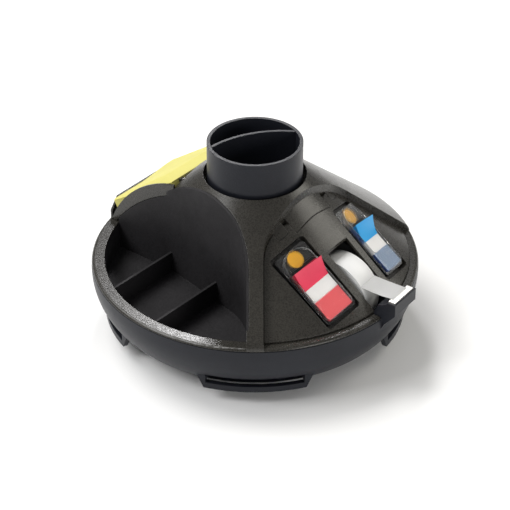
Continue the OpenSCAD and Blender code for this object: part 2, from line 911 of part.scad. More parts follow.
// The dome's fixed bridge between the arch and the panel's hinge line
module flag_bridge() {
    intersection() {
        dome_layer(flag_depth, frame_low - 0.6);
        prism()
            flag_plan(1);
        flag_frame()
            union() {
                across(fh_arm_a[1] + fh_gap, fh_arm_b[0] - fh_gap)
                    bridge_2d(fh_bridge_r);
                across(fh_bridge_span[0], fh_arm_a[0] - fh_gap)
                    bridge_2d(fh_tab_r);
                across(fh_arm_b[1] + fh_gap, fh_bridge_span[1])
                    bridge_2d(fh_tab_r);
            }
    }
    intersection() {
        under_dome(flag_depth + 0.6);
        flag_frame()
            union() {
                flag_lug(fh_arm_a[1] + fh_gap, fh_arm_a[1] + fh_gap + fh_lug_w);
                flag_lug(fh_arm_b[0] - fh_gap - fh_lug_w, fh_arm_b[0] - fh_gap);
            }
    }
}

// Hinge lugs of the dome for the notes holder
module notes_lugs() {
    for (t = nh_lug_t)
        intersection() {
            under_dome(0.6);
            notes_frame()
                across(t, t + nh_lug_w)
                    difference() {
                        union() {
                            translate([nh_u, nh_z])
                                circle(r = nh_bar_r);
                            translate([nh_u - 7, nh_z - nh_bar_r])
                                square([7, 4 * nh_bar_r]);
                        }
                        translate([nh_u, nh_z])
                            circle(r = nh_pin_r);
                    }
        }
}

// Walls of the given plan that hang from the dome down to a depth below its face
module dome_skirt(depth) {
    difference() {
        intersection() {
            under_dome(dome_wall / 2);
            prism(dome_low_z + 1)
                children();
        }
        under_dome(depth);
    }
}

// Section of the dome: shell, flat rim, locating lip and the collar that holds the pen cup
module dome_section_2d() {
    lip_r = bowl_r(bowl_top_z, bowl_wall) - 0.15;
    difference() {
        under_dome_2d(0);
        difference() {
            under_dome_2d(dome_wall);
            translate([rim_in_r - 1, dome_low_z])
                square([lip_r + 1 - rim_in_r, rim_rise + 1.2]);
            translate([lip_r - 2.2, seam_z - 4])
                square([2.2, rim_rise + 5]);
            translate([cup_r + cup_fit, collar_top_z - collar_h])
                square([dome_hole_r + collar_wall - cup_r - cup_fit, collar_depth + 10]);
        }
        translate([lip_r, -2])
            square([20, dome_low_z + 2]);
        square([cup_r + cup_fit, big]);
        translate([0, collar_top_z])
            square([dome_hole_r, big]);
    }
}

module dome_cover() {
    color(black)
        difference() {
            union() {
                difference() {
                    union() {
                        revolve()
                            dome_section_2d();
                        // Walls and ledge round the flag panel
                        dome_skirt(frame_low)
                            difference() {
                                flag_plan(frame_wall);
                                flag_plan(-ledge_w);
                            }
                        // Walls round the notes holder
                        dome_skirt(frame_low + 2)
                            difference() {
                                notes_plan(holder_gap + frame_wall);
                                notes_plan(holder_gap - 0.5);
                                storage_plan(tray_wall + tray_gap - 0.5);
                            }
                        for (p = shell_screws)
                            intersection() {
                                under_dome(0.6);
                                boss(p, 120);
                            }
                    }
                    // Recess of the flag panel
                    intersection() {
                        above_ledge();
                        prism()
                            flag_plan(0);
                    }
                    intersection() {
                        disc(flag_rim_r);
                        prism()
                            union() {
                                flag_plan(-ledge_w);
                                intersection() {
                                    flag_plan(0);
                                    rotate(flag_az)
                                        translate([0, -hinge_room])
                                            square([fh_u + fh_bridge_r + 2, 2 * hinge_room]);
                                }
                            }
                    }
                    for (side = [-1, 1])
                        pocket_frame(side)
                            pocket_box(panel_gap / 2);
                    // Openings of the scoop and the notes holder
                    intersection() {
                        above_rim();
                        prism() {
                            storage_plan(0);
                            notes_plan(holder_gap);
                        }
                    }
                    intersection() {
                        disc(rim_in_r);
                        prism() {
                            storage_plan(tray_wall + tray_gap);
                            notes_plan(holder_gap);
                        }
                    }
                }
                flag_bridge();
                notes_lugs();
            }
            // Notch for the cutter's nose
            flag_frame()
                translate([nose_in_u - nose_gap, -nose_w / 2 - nose_gap, -1])
                    cube([big, nose_w + 2 * nose_gap, big]);
        }
}

module storage_tray() {
    color(bluish_black)
        difference() {
            union() {
                intersection() {
                    under_dome(0);
                    // Walls and floor
                    difference() {
                        prism(tray_floor_z - tray_floor_t)
                            intersection() {
                                storage_plan(tray_wall);
                                circle(r = rim_in_r + tray_wall, $fn = 180);
                            }
                        prism(tray_floor_z)
                            intersection() {
                                storage_plan(0);
                                circle(r = rim_in_r, $fn = 180);
                            }
                        // The front wall ends under the flat rim
                        ring(rim_in_r, big, dome_low_z - 0.05, big);
                    }
                }
                // Dividers
                intersection() {
                    prism(tray_floor_z - 0.5, tray_floor_z + divider_h)
                        intersection() {
                            storage_plan(tray_wall / 2);
                            circle(r = rim_in_r + tray_wall / 2, $fn = 180);
                        }
                    for (d = divider_offsets)
                        rotate([0, 0, divider_az + 90])
                            translate([d - tray_divider_t / 2, -big / 2, 0])
                                cube([tray_divider_t, big, 100]);
                }
                // Flange under the dome
                intersection() {
                    dome_layer(dome_wall + 0.1, dome_wall + 0.1 + tray_flange_t);
                    prism(tray_floor_z + 30)
                        difference() {
                            storage_plan(tray_wall + tray_flange_w);
                            storage_plan(tray_wall - eps);
                            circle(r = dome_hole_r + collar_wall + 0.2, $fn = 180);
                            for (p = shell_screws)
                                rotate(p[1])
                                    translate([p[0], 0])
                                        circle(r = pillar_r + 0.1);
                            notes_plan(holder_gap + frame_wall + 0.2);
                            flag_plan(frame_wall + 0.2);
                        }
                    disc(rim_in_r - 4);
                }
                boss(tray_screw, tray_floor_z - tray_floor_t + eps);
            }
            // The wall beside the notes holder ends under the holder's edge
            intersection() {
                above_holder_arc(0.3);
                prism()
                    notes_plan(holder_gap);
            }
        }
}

module pen_cup() {
    color(bluish_black)
        difference() {
            disc(cup_r, cup_under_z, cup_top_z);
            disc(cup_in_r, cup_under_z + cup_floor_t, cup_top_z + 1);
        }
}

module cup_divider() {
    color(bluish_black)
        intersection() {
            disc(cup_in_r, cup_under_z + cup_floor_t, cup_top_z - 0.3);
            rotate([0, 0, divider_arc_az])
                translate([divider_arc_off, 0, 0])
                    ring(divider_arc_r - divider_t / 2, divider_arc_r + divider_t / 2, 0, 200);
        }
}

module assembly_screws() {
    color("silver")
        for (p = screws)
            rotate([0, 0, p[1]])
                translate([p[0], 0, bowl_under_z + head_sink]) {
                    cylinder(r = screw_head_r, h = screw_head_h);
                    cylinder(r = screw_r, h = p[2] + screw_bite - bowl_under_z - head_sink);
                }
}

module cutter_blade() {
    teeth = floor(blade_l / tooth_p);
    span = teeth * tooth_p;
    color("silver")
        flag_frame()
            translate([0, 0, blade_z - blade_t])
                linear_extrude(blade_t)
                    polygon(concat(
                        [[blade_u - blade_d, -blade_l / 2], [blade_u - tooth_d, -blade_l / 2]],
                        [for (k = [0:teeth - 1], j = [0, 1])
                            [blade_u - (j == 0 ? tooth_d : 0), -span / 2 + (k + j / 2) * tooth_p]],
                        [[blade_u - tooth_d, blade_l / 2], [blade_u - blade_d, blade_l / 2]]));
}

module tape_cradle() {
    color(bluish_black)
        flag_frame()
            difference() {
                union() {
                    translate([roll_u - cheek_foot / 2, -cheek_in - cheek_t - 3, bowl_in_z])
                        cube([cheek_foot, 2 * (cheek_in + cheek_t + 3), cradle_foot_t]);
                    for (s = [-1, 1])
                        across(s > 0 ? cheek_in : -cheek_in - cheek_t, s > 0 ? cheek_in + cheek_t : -cheek_in) {
                            translate([roll_u, roll_z])
                                circle(r = cheek_head_r);
                            polygon([[roll_u - cheek_foot / 2, bowl_in_z], [roll_u + cheek_foot / 2, bowl_in_z],
                                [roll_u + cheek_head_r, roll_z], [roll_u - cheek_head_r, roll_z]]);
                        }
                }
                // Open-topped seats for the axle
                across(-50, 50) {
                    translate([roll_u, roll_z])
                        circle(r = axle_r + axle_clear);
                    translate([roll_u - axle_r - axle_clear, roll_z])
                        square([2 * (axle_r + axle_clear), 20]);
                }
            }
}

module tape_tail() {
    run = tail_end - tail_start;
    color([0.92, 0.94, 0.96])
        flag_frame()
            translate([tail_start[0], -tape_w / 2, tail_start[1]])
                rotate([0, -atan2(run[1], run[0]), 0])
                    cube([norm(run), tape_w, tail_t]);
}

module flag_hinge_pin() {
    color("silver")
        flag_frame()
            across(fh_arm_a[1] - fh_knuckle_w, fh_arm_b[0] + fh_knuckle_w)
                translate([fh_u, fh_z])
                    circle(r = fh_pin_r);
}

module notes_hinge_pin() {
    color("silver")
        notes_frame()
            across(nh_span[0] + 1, nh_span[1] - 1)
                translate([nh_u, nh_z])
                    circle(r = nh_pin_r);
}

// Tape roll

module tape_ring(r_in, r_out, half) {
    flag_frame()
        across(-half, half)
            translate([roll_u, roll_z])
                difference() {
                    circle(r = r_out, $fn = 144);
                    circle(r = r_in, $fn = 96);
                }
}

module tape_roll() {
    color("white")
        tape_ring(roll_in_r, roll_r, tape_w / 2);
}

module tape_core() {
    color([0.75, 0.68, 0.55])
        tape_ring(core_in_r, roll_in_r, tape_w / 2);
}

module tape_hub() {
    color(black) {
        tape_ring(core_in_r - hub_rim_t, core_in_r, tape_w / 2);
        flag_frame()
            across(-1, 1)
                translate([roll_u, roll_z])
                    circle(r = core_in_r - hub_rim_t / 2);
        flag_frame()
            across(-cheek_in - cheek_t, cheek_in + cheek_t)
                translate([roll_u, roll_z])
                    circle(r = axle_r);
    }
}

// Flag panel and its dispensers

// Outside of a pocket below the panel
// Outside of a dispenser's pocket, grown by g
module pocket_box(g) {
    l = pocket_l + 2 * pocket_wall + 2 * g;
    w = pocket_w + 2 * pocket_wall + 2 * g;
    translate([-l / 2, -w / 2, -pocket_depth - pocket_wall - g])
        cube([l, w, pocket_depth + pocket_wall + g + 4]);
}

// Knuckle under the panel, from t0 to t1
module hinge_arm(t0, t1) {
    across(t0, t1)
        translate([fh_u, fh_z])
            union() {
                circle(r = fh_knuckle_r);
                polygon([[0, -fh_knuckle_r], [fh_bridge_r + 3, -8], [fh_bridge_r + 3, 0], [0, 8]]);
            }
}

module flag_panel() {
    color(black)
        difference() {
            union() {
                difference() {
                    intersection() {
                        dome_layer(flag_depth, panel_low);
                        prism(rim_z + ledge_gap)
                            intersection() {
                                flag_plan(-panel_gap);
                                circle(r = panel_out_r, $fn = 180);
                            }
                    }
                    // Cut back round the hinge bridge and behind the arms
                    flag_frame()
                        union() {
                            panel_hinge_cut(fh_arm_a[1], fh_arm_b[0], fh_bridge_r);
                            panel_hinge_cut(fh_bridge_span[0] - fh_gap, fh_arm_a[0], fh_tab_r);
                            panel_hinge_cut(fh_arm_b[1], fh_bridge_span[1] + fh_gap, fh_tab_r);
                        }
                }
                intersection() {
                    under_dome(flag_depth + 0.8);
                    flag_frame()
                        union() {
                            hinge_arm(fh_arm_a[1] - fh_knuckle_w, fh_arm_a[1]);
                            hinge_arm(fh_arm_b[0], fh_arm_b[0] + fh_knuckle_w);
                        }
                }
                // Pockets for the dispensers
                for (side = [-1, 1])
                    intersection() {
                        under_dome(flag_depth + 1);
                        pocket_frame(side)
                            pocket_box(0);
                        union() {
                            disc(flag_rim_r - panel_gap);
                            disc(panel_out_r, rim_z + ledge_gap);
                        }
                    }
            }
            for (side = [-1, 1])
                pocket_frame(side)
                    round_block(pocket_l, pocket_w, pocket_round, -pocket_depth, 20);
            flag_frame() {
                across(fh_arm_a[0] - 1, fh_arm_b[1] + 1)
                    translate([fh_u, fh_z]) {
                        circle(r = fh_pin_r + pin_clear);
                        // Room behind the arms as the panel tips up
                        difference() {
                            translate([-fh_u, -20])
                                square([fh_u + 1.5, big]);
                            circle(r = fh_knuckle_r + 0.1);
                        }
                    }
                translate([slot_in, -slot_w / 2, 0])
                    cube([big, slot_w, big]);
            }
        }
}

module panel_hinge_cut(t0, t1, r) {
    across(t0, t1)
        union() {
            translate([0, fh_z - 20])
                square([fh_u, big]);
            translate([fh_u - 1, fh_z])
                square([hinge_step + 1, big]);
            translate([fh_u, fh_z])
                circle(r = r + fh_gap);
        }
}

// Middle of the stack of flags along the case
stack_x = -case_l / 2 + flag_start + flag_l / 2;
case_z = -pocket_depth;

module flag_case(side) {
    color(black)
        pocket_frame(side)
            difference() {
                round_block(case_l, case_w, 3, case_z, case_z + case_h);
                translate([stack_x - flag_l / 2 - 0.3, -flag_w / 2 - 0.3, case_z + case_wall])
                    cube([flag_l + 0.6, flag_w + 0.6, case_h]);
            }
}

module flag_stack(side, tint) {
    color(tint)
        pocket_frame(side)
            translate([stack_x - flag_l / 2, -flag_w / 2, case_z + case_wall])
                cube([flag_l, flag_w, flag_stack_t]);
}

module flag_tab(side, tint) {
    color(tint)
        pocket_frame(side)
            translate([stack_x - flag_l / 2 + tab_l, 0, case_z + case_wall + flag_stack_t + 0.1])
                rotate([0, 180 + tab_rise, 0])
                    translate([0, -flag_w / 2, -0.4])
                        cube([tab_l, flag_w, 0.4]);
}

// Window of the clear cover, over the upper part of the stack
module cover_window(z0, z1) {
    translate([stack_x - flag_l / 2 - 2 + window_l / 2, 0, 0])
        round_block(window_l, flag_w + 1, 3, z0, z1);
}

module flag_cover(side) {
    color([0.8, 0.85, 0.9, 0.4])
        pocket_frame(side)
            difference() {
                round_block(case_l, case_w, 3, case_z + case_h, case_z + case_h + clear_h);
                round_block(case_l - 2 * clear_t, case_w - 2 * clear_t, 3 - clear_t,
                    case_z + case_h - 1, case_z + case_h + clear_h - clear_t);
                cover_window(case_z + case_h + 1, case_z + case_h + clear_h + 2);
            }
}

module red_flag_case() { flag_case(-1); }
module red_flag_stack() { flag_stack(-1, [0.85, 0.25, 0.28]); }
module red_flag_tab() { flag_tab(-1, [0.75, 0.12, 0.2]); }
module red_flag_cover() { flag_cover(-1); }
module blue_flag_case() { flag_case(1); }
module blue_flag_stack() { flag_stack(1, [0.45, 0.55, 0.7]); }
module blue_flag_tab() { flag_tab(1, [0.15, 0.5, 0.8]); }
module blue_flag_cover() { flag_cover(1); }

// Notes holder

// Side view of the holder's arched side
module holder_side_2d() {
    difference() {
        intersection() {
            translate([holder_top_u, holder_top_z])
                circle(r = holder_top_r, $fn = 240);
            translate([holder_in_u, rim_z + holder_gap])
                square([big, 100]);
        }
        translate([holder_low_u, holder_low_z])
            circle(r = holder_low_r, $fn = 240);
    }
}

module notes_holder() {
    color(black)
        difference() {
            intersection() {
                notes_frame()
                    union() {
                        // Arched sides
                        across(holder_t - holder_wall, holder_t)
                            holder_side_2d();
                        across(holder_right, holder_right + holder_wall)
                            holder_side_2d();
                        // Outer stop
                        translate([stop_u, 0, 0])
                            rotate([90, 0, 90])
                                linear_extrude(holder_wall)
                                    polygon([[holder_right, rim_z + holder_gap], [holder_t, rim_z + holder_gap],
                                        [holder_t, rim_z + 8], [holder_t - 8, notes_out_z + stop_rise],
                                        [holder_right + 8, notes_out_z + stop_rise], [holder_right, rim_z + 8]]);
                        // Floor under the pad, with a lip behind the pad's upper edge
                        translate([notes_u, 0, notes_z])
                            rotate([0, notes_slope, 0]) {
                                translate([floor_in, pad_right - pad_gap - 0.6, -pad_t - backplate_t])
                                    cube([notes_size - floor_in + 0.5, notes_size + 2 * pad_gap + 1.2, backplate_t]);
                                translate([-pad_gap - lip_t, nh_span[0], -pad_t - backplate_t])
                                    cube([pad_gap + lip_t + floor_in + 1, nh_span[1] - nh_span[0], backplate_t]);
                                translate([-pad_gap - lip_t, nh_span[0], -pad_t - backplate_t])
                                    cube([lip_t, nh_span[1] - nh_span[0], pad_t + backplate_t - 0.5]);
                            }
                        // Hinge bar on the lip
                        across(nh_span[0] + 0.5, nh_span[1] - 0.5)
                            translate([nh_u, nh_z])
                                circle(r = nh_bar_r);
                    }
                disc(holder_out_r);
            }
            // Pin hole, and gaps for the dome's hinge lugs
            notes_frame() {
                across(nh_span[0] - 1, nh_span[1] + 1)
                    translate([nh_u, nh_z])
                        circle(r = nh_pin_r + pin_clear);
                for (t = nh_lug_t)
                    across(t - fh_gap, t + nh_lug_w + fh_gap)
                        translate([nh_u - 8, nh_z - nh_bar_r - fh_gap])
                            square([8 + nh_bar_r + lip_t, 20]);
            }
        }
}

module notes_pad() {
    color([0.96, 0.9, 0.45])
        pad_frame()
            translate([0, pad_right, -pad_t])
                cube([notes_size, notes_size, pad_t]);
}

// The loose top sheet: it rises from the pad's near edge and folds down along the upper edge
module notes_sheet() {
    y0 = pad_right;
    y1 = pad_left;
    out = notes_size - 1.5;
    low = [[0, y0, 0], [0, y1, 0], [12, y0 + 2, sheet_bulge], [14, y1 - 11, sheet_bulge],
        [out, y0, sheet_bulge * 0.5], [out, y1 - 24, sheet_bulge * 0.5], [out, y1, 0]];
    faces_up = [[0, 2, 1], [1, 2, 3], [2, 4, 3], [3, 4, 5], [3, 5, 6], [1, 3, 6]];
    n = len(low);
    color([0.98, 0.93, 0.5])
        pad_frame()
            polyhedron(
                points = concat([for (p = low) p + [0, 0, eps]], [for (p = low) p + [0, 0, sheet_t]]),
                faces = concat(
                    [for (f = faces_up) [for (i = f) i]],
                    [for (f = faces_up) [for (i = [len(f) - 1:-1:0]) f[i] + n]],
                    [for (e = [[0, 1], [1, 6], [6, 5], [5, 4], [4, 2], [2, 0]]) [e[0], e[1], e[1] + n, e[0] + n]]));
}

base_plate();
base_feet();
glide_ring();
pivot_screw();
pivot_washer();
lower_bowl();
dome_cover();
storage_tray();
pen_cup();
cup_divider();
assembly_screws();
cutter_blade();
tape_cradle();
tape_tail();
flag_hinge_pin();
notes_hinge_pin();
tape_hub();
tape_core();
tape_roll();
flag_panel();
red_flag_case();
red_flag_stack();
red_flag_tab();
red_flag_cover();
blue_flag_case();
blue_flag_stack();
blue_flag_tab();
blue_flag_cover();
notes_holder();
notes_pad();
notes_sheet();
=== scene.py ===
"""Looks of the rotating desk organizer: finishes for its mouldings and metal parts, and the notes,
tape and flags that it holds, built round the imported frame."""

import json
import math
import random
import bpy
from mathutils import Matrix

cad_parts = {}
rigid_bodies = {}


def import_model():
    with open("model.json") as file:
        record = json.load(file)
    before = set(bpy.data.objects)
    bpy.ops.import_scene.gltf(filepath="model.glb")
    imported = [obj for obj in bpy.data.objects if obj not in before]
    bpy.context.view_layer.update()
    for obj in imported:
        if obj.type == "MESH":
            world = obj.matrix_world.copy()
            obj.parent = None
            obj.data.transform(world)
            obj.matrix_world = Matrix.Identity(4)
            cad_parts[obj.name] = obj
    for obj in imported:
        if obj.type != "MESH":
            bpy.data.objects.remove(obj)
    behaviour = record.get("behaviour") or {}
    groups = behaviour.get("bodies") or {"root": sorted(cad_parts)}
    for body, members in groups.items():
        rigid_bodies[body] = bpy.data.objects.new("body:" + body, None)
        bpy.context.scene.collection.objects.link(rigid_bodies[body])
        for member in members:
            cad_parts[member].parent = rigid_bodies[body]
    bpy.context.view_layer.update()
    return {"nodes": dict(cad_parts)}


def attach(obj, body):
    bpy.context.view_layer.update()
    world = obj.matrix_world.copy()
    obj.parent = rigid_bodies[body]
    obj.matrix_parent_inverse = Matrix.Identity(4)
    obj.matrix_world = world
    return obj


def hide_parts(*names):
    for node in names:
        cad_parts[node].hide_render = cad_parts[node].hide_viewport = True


bl_info = {
    "name": "Rotating Desk Organizer",
    "version": (1, 0, 0),
    "blender": (4, 5, 0),
    "location": "3D View > Sidebar > Organizer",
    "description": "Finishes, notes, tape and flags of a rotating desk organizer",
    "category": "Add Mesh",
}

import bmesh
import bpy
from bpy.props import FloatProperty, FloatVectorProperty, IntProperty, PointerProperty
from mathutils import Matrix, Vector

for leftover in list(bpy.data.objects):
    bpy.data.objects.remove(leftover, do_unlink=True)

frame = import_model()

# Places of the CAD parts, in millimetres and degrees


def turned(angle, axis):
    """Rotation by an angle in degrees."""
    return Matrix.Rotation(math.radians(angle), 4, axis)


def moved(x, y, z):
    """Translation in millimetres."""
    return Matrix.Translation((x, y, z))


MM = Matrix.Scale(0.001, 4)

# Tape and blade: x outwards through the middle of the flag panel, z up
FLAG_FRAME = turned(-36, "Z")
TAPE_AXIS = Vector((82.0, 0.0, 57.1))

# Pad of notes: x down the slope from its upper edge, z square to its top
PAD_FRAME = turned(141, "Z") @ moved(56.7, 0, 117) @ turned(33.5, "Y")
PAD_NEAR = 32.9
PAD_FAR = -43.1
PAD_MIDDLE = (PAD_NEAR + PAD_FAR) / 2


def pocket_frame(side):
    """Frame of a flag dispenser's pocket: x down the slope, z square to the panel."""
    return (turned(-36 + 24 * side, "Z") @ moved(91.3, 0, 84.83)
            @ turned(39, "Y") @ turned(-19 * side, "Z"))


# Materials


def new_finish(name):
    """A material, its node tree and its Principled shader."""
    material = bpy.data.materials.new(name)
    material.use_nodes = True
    return material, material.node_tree, material.node_tree.nodes["Principled BSDF"]


def add_node(tree, kind, **values):
    """A node with some of its settings and sockets filled in."""
    node = tree.nodes.new(kind)
    for key, value in values.items():
        if key in node.inputs:
            node.inputs[key].default_value = value
        else:
            setattr(node, key, value)
    return node


def object_space(tree, place=None):
    """Object coordinates, or the same in the frame of the given place."""
    coords = add_node(tree, "ShaderNodeTexCoord").outputs["Object"]
    if place is None:
        return coords
    mapping = add_node(tree, "ShaderNodeMapping", vector_type="TEXTURE",
                       Location=place.to_translation(), Rotation=place.to_euler("XYZ"))
    tree.links.new(coords, mapping.inputs["Vector"])
    return mapping.outputs["Vector"]


def add_noise(tree, vector, scale, detail=3.0, roughness=0.55, stretch=None):
    """Noise over the given coordinates, at so many cycles per metre."""
    if stretch is not None:
        mapping = add_node(tree, "ShaderNodeMapping", Scale=stretch)
        tree.links.new(vector, mapping.inputs["Vector"])
        vector = mapping.outputs["Vector"]
    texture = add_node(tree, "ShaderNodeTexNoise", Scale=scale, Detail=detail, Roughness=roughness)
    tree.links.new(vector, texture.inputs["Vector"])
    return texture.outputs["Fac"]


def add_ramp(tree, value, low, high, start=0.3, end=0.7):
    """Colours from low to high as a value goes from start to end."""
    ramp = add_node(tree, "ShaderNodeValToRGB")
    ramp.color_ramp.elements[0].position = start
    ramp.color_ramp.elements[0].color = (*low, 1.0)
    ramp.color_ramp.elements[1].position = end
    ramp.color_ramp.elements[1].color = (*high, 1.0)
    tree.links.new(value, ramp.inputs["Fac"])
    return ramp.outputs["Color"]


def add_range(tree, value, low, high, start=0.3, end=0.7):
    """A number from low to high as a value goes from start to end."""
    scaled = add_node(tree, "ShaderNodeMapRange",
                      **{"From Min": start, "From Max": end, "To Min": low, "To Max": high})
    tree.links.new(value, scaled.inputs["Value"])
    return scaled.outputs["Result"]


def soft_edges(tree, radius):
    """Normals that make edges look rounded, and a value that is 1 on an edge and 0 away from it."""
    bevel = add_node(tree, "ShaderNodeBevel", samples=6, Radius=radius)
    geometry = add_node(tree, "ShaderNodeNewGeometry")
    dot = add_node(tree, "ShaderNodeVectorMath", operation="DOT_PRODUCT")
    tree.links.new(bevel.outputs["Normal"], dot.inputs[0])
    tree.links.new(geometry.outputs["Normal"], dot.inputs[1])
    edge = add_range(tree, dot.outputs["Value"], low=1.0, high=0.0, start=0.7, end=0.93)
    return bevel.outputs["Normal"], edge


def blend(tree, first, second, share):
    """A share of the first value and the rest of the second."""
    rest = add_node(tree, "ShaderNodeMath", operation="MULTIPLY")
    rest.inputs[1].default_value = 1.0 - share
    tree.links.new(second, rest.inputs[0])
    total = add_node(tree, "ShaderNodeMath", operation="MULTIPLY_ADD")
    total.inputs[1].default_value = share
    tree.links.new(first, total.inputs[0])
    tree.links.new(rest.outputs["Value"], total.inputs[2])
    return total.outputs["Value"]


def add_bump(tree, height, distance, strength, normal=None):
    """Bump of so many metres from a height between 0 and 1."""
    bump = add_node(tree, "ShaderNodeBump", Strength=strength, Distance=distance)
    tree.links.new(height, bump.inputs["Height"])
    if normal is not None:
        tree.links.new(normal, bump.inputs["Normal"])
    return bump.outputs["Normal"]


def lighten(colour, factor):
    """A colour made lighter, or darker by a factor below 1."""
    return tuple(min(c * factor, 1.0) for c in colour)


def moulded_plastic(name, colour, roughness, grain, depth, radius=0.0005, worn=1.9, speckle=0.12,
                    gloss=0.5):
    """Moulded plastic: grained skin, uneven gloss, edges rubbed a little lighter."""
    material, tree, shader = new_finish(name)
    space = object_space(tree)
    normal, edge = soft_edges(tree, radius)
    broad = add_noise(tree, space, scale=22.0, detail=4.0)
    scuffs = add_noise(tree, space, scale=160.0, detail=6.0, roughness=0.7)
    pips = add_noise(tree, space, scale=grain * 0.8, detail=1.0, roughness=0.5)
    fine = add_noise(tree, space, scale=grain, detail=2.0, roughness=0.6)

    body = add_ramp(tree, blend(tree, pips, broad, 0.6), lighten(colour, 1 - 2 * speckle),
                    lighten(colour, 1 + 2 * speckle), start=0.38, end=0.62)
    amount = add_node(tree, "ShaderNodeMath", operation="MULTIPLY")
    tree.links.new(edge, amount.inputs[0])
    tree.links.new(add_range(tree, scuffs, 0.1, 0.75, start=0.35, end=0.65), amount.inputs[1])
    rubbed = add_node(tree, "ShaderNodeMix", data_type="RGBA")
    rubbed.inputs["B"].default_value = (*lighten(colour, worn), 1.0)
    tree.links.new(amount.outputs["Value"], rubbed.inputs["Factor"])
    tree.links.new(body, rubbed.inputs["A"])
    tree.links.new(rubbed.outputs["Result"], shader.inputs["Base Color"])

    matt = add_range(tree, blend(tree, pips, scuffs, 0.5), roughness - 0.4 * speckle,
                     roughness + 0.4 * speckle, start=0.35, end=0.65)
    tree.links.new(matt, shader.inputs["Roughness"])
    shader.inputs["Specular IOR Level"].default_value = gloss
    tree.links.new(add_bump(tree, fine, depth, 0.5, normal), shader.inputs["Normal"])
    return material


def plated_metal(name, colour, roughness, place=None):
    """Plated or ground steel, with fine scratches along the y axis of the given place."""
    material, tree, shader = new_finish(name)
    space = object_space(tree, place)
    streaks = add_noise(tree, space, scale=900.0, detail=4.0, roughness=0.6,
                        stretch=(1.0, 0.05, 1.0))
    stains = add_noise(tree, space, scale=60.0, detail=5.0, roughness=0.6)
    tree.links.new(add_ramp(tree, stains, lighten(colour, 0.9), lighten(colour, 1.06)),
                   shader.inputs["Base Color"])
    shader.inputs["Metallic"].default_value = 1.0
    tree.links.new(add_range(tree, streaks, roughness - 0.06, roughness + 0.1),
                   shader.inputs["Roughness"])
    tree.links.new(add_bump(tree, streaks, 0.00003, 0.4), shader.inputs["Normal"])
    return material


def rubber_finish(name, colour):
    """Matt rubber with a dusty skin."""
    material, tree, shader = new_finish(name)
    dust = add_noise(tree, object_space(tree), scale=300.0, detail=6.0, roughness=0.7)
    tree.links.new(add_ramp(tree, dust, colour, lighten(colour, 1.6)), shader.inputs["Base Color"])
    tree.links.new(add_range(tree, dust, 0.72, 0.9), shader.inputs["Roughness"])
    tree.links.new(add_bump(tree, dust, 0.0001, 0.4), shader.inputs["Normal"])
    return material


def card_finish(name, colour, roughness, fibre):
    """Card, paper or film: fibres in its colour, so many to the metre, and a faint tooth."""
    material, tree, shader = new_finish(name)
    space = object_space(tree)
    fibres = add_noise(tree, space, scale=fibre, detail=5.0, roughness=0.65,
                       stretch=(1.0, 1.0, 0.3))
    shade = add_noise(tree, space, scale=35.0, detail=2.0)
    tint = add_ramp(tree, blend(tree, fibres, shade, 0.35), lighten(colour, 0.95),
                    lighten(colour, 1.03))
    tree.links.new(tint, shader.inputs["Base Color"])
    shader.inputs["Roughness"].default_value = roughness
    tree.links.new(add_bump(tree, fibres, 0.00004, 0.35), shader.inputs["Normal"])
    return material


def wound_film(name, colour, place):
    """Wound tape: fine rings on the sides, where its turns end, and a smooth matt face round it."""
    material, tree, shader = new_finish(name)
    space = object_space(tree, place)
    rings = add_node(tree, "ShaderNodeTexWave", wave_type="RINGS", rings_direction="Y",
                     **{"Scale": 520.0, "Distortion": 1.2, "Detail": 2.0, "Detail Scale": 1.5})
    tree.links.new(space, rings.inputs["Vector"])
    cloud = add_noise(tree, space, scale=40.0)
    tree.links.new(add_ramp(tree, cloud, lighten(colour, 0.96), lighten(colour, 1.02)),
                   shader.inputs["Base Color"])
    tree.links.new(add_range(tree, cloud, 0.3, 0.42), shader.inputs["Roughness"])
    shader.inputs["Subsurface Weight"].default_value = 0.25
    shader.inputs["Subsurface Radius"].default_value = (0.004, 0.004, 0.004)
    tree.links.new(add_bump(tree, rings.outputs["Fac"], 0.00006, 0.35), shader.inputs["Normal"])
    return material


def frosted_film(name, colour):
    """Matt adhesive tape: milky, and a little shows through it."""
    material, tree, shader = new_finish(name)
    cloud = add_noise(tree, object_space(tree), scale=90.0, detail=4.0, roughness=0.6)
    tree.links.new(add_ramp(tree, cloud, lighten(colour, 0.95), colour),
                   shader.inputs["Base Color"])
    tree.links.new(add_range(tree, cloud, 0.28, 0.4), shader.inputs["Roughness"])
    shader.inputs["Transmission Weight"].default_value = 0.35
    shader.inputs["IOR"].default_value = 1.3
    shader.inputs["Alpha"].default_value = 0.72
    tree.links.new(add_bump(tree, cloud, 0.0003, 0.25), shader.inputs["Normal"])
    return material


def clear_plastic(name, colour, alpha, roughness):
    """Thin clear thermoformed plastic with a few faint flow marks."""
    material, tree, shader = new_finish(name)
    flow = add_noise(tree, object_space(tree), scale=45.0, detail=2.0)
    shader.inputs["Base Color"].default_value = (*colour, 1.0)
    tree.links.new(add_range(tree, flow, 0.8 * roughness, 1.2 * roughness),
                   shader.inputs["Roughness"])
    shader.inputs["Transmission Weight"].default_value = 1.0
    shader.inputs["IOR"].default_value = 1.45
    shader.inputs["Alpha"].default_value = alpha
    tree.links.new(add_bump(tree, flow, 0.0001, 0.2), shader.inputs["Normal"])
    return material


# Shapes

SHARP_ANGLE = math.radians(35)
CORNER_STEPS = 8


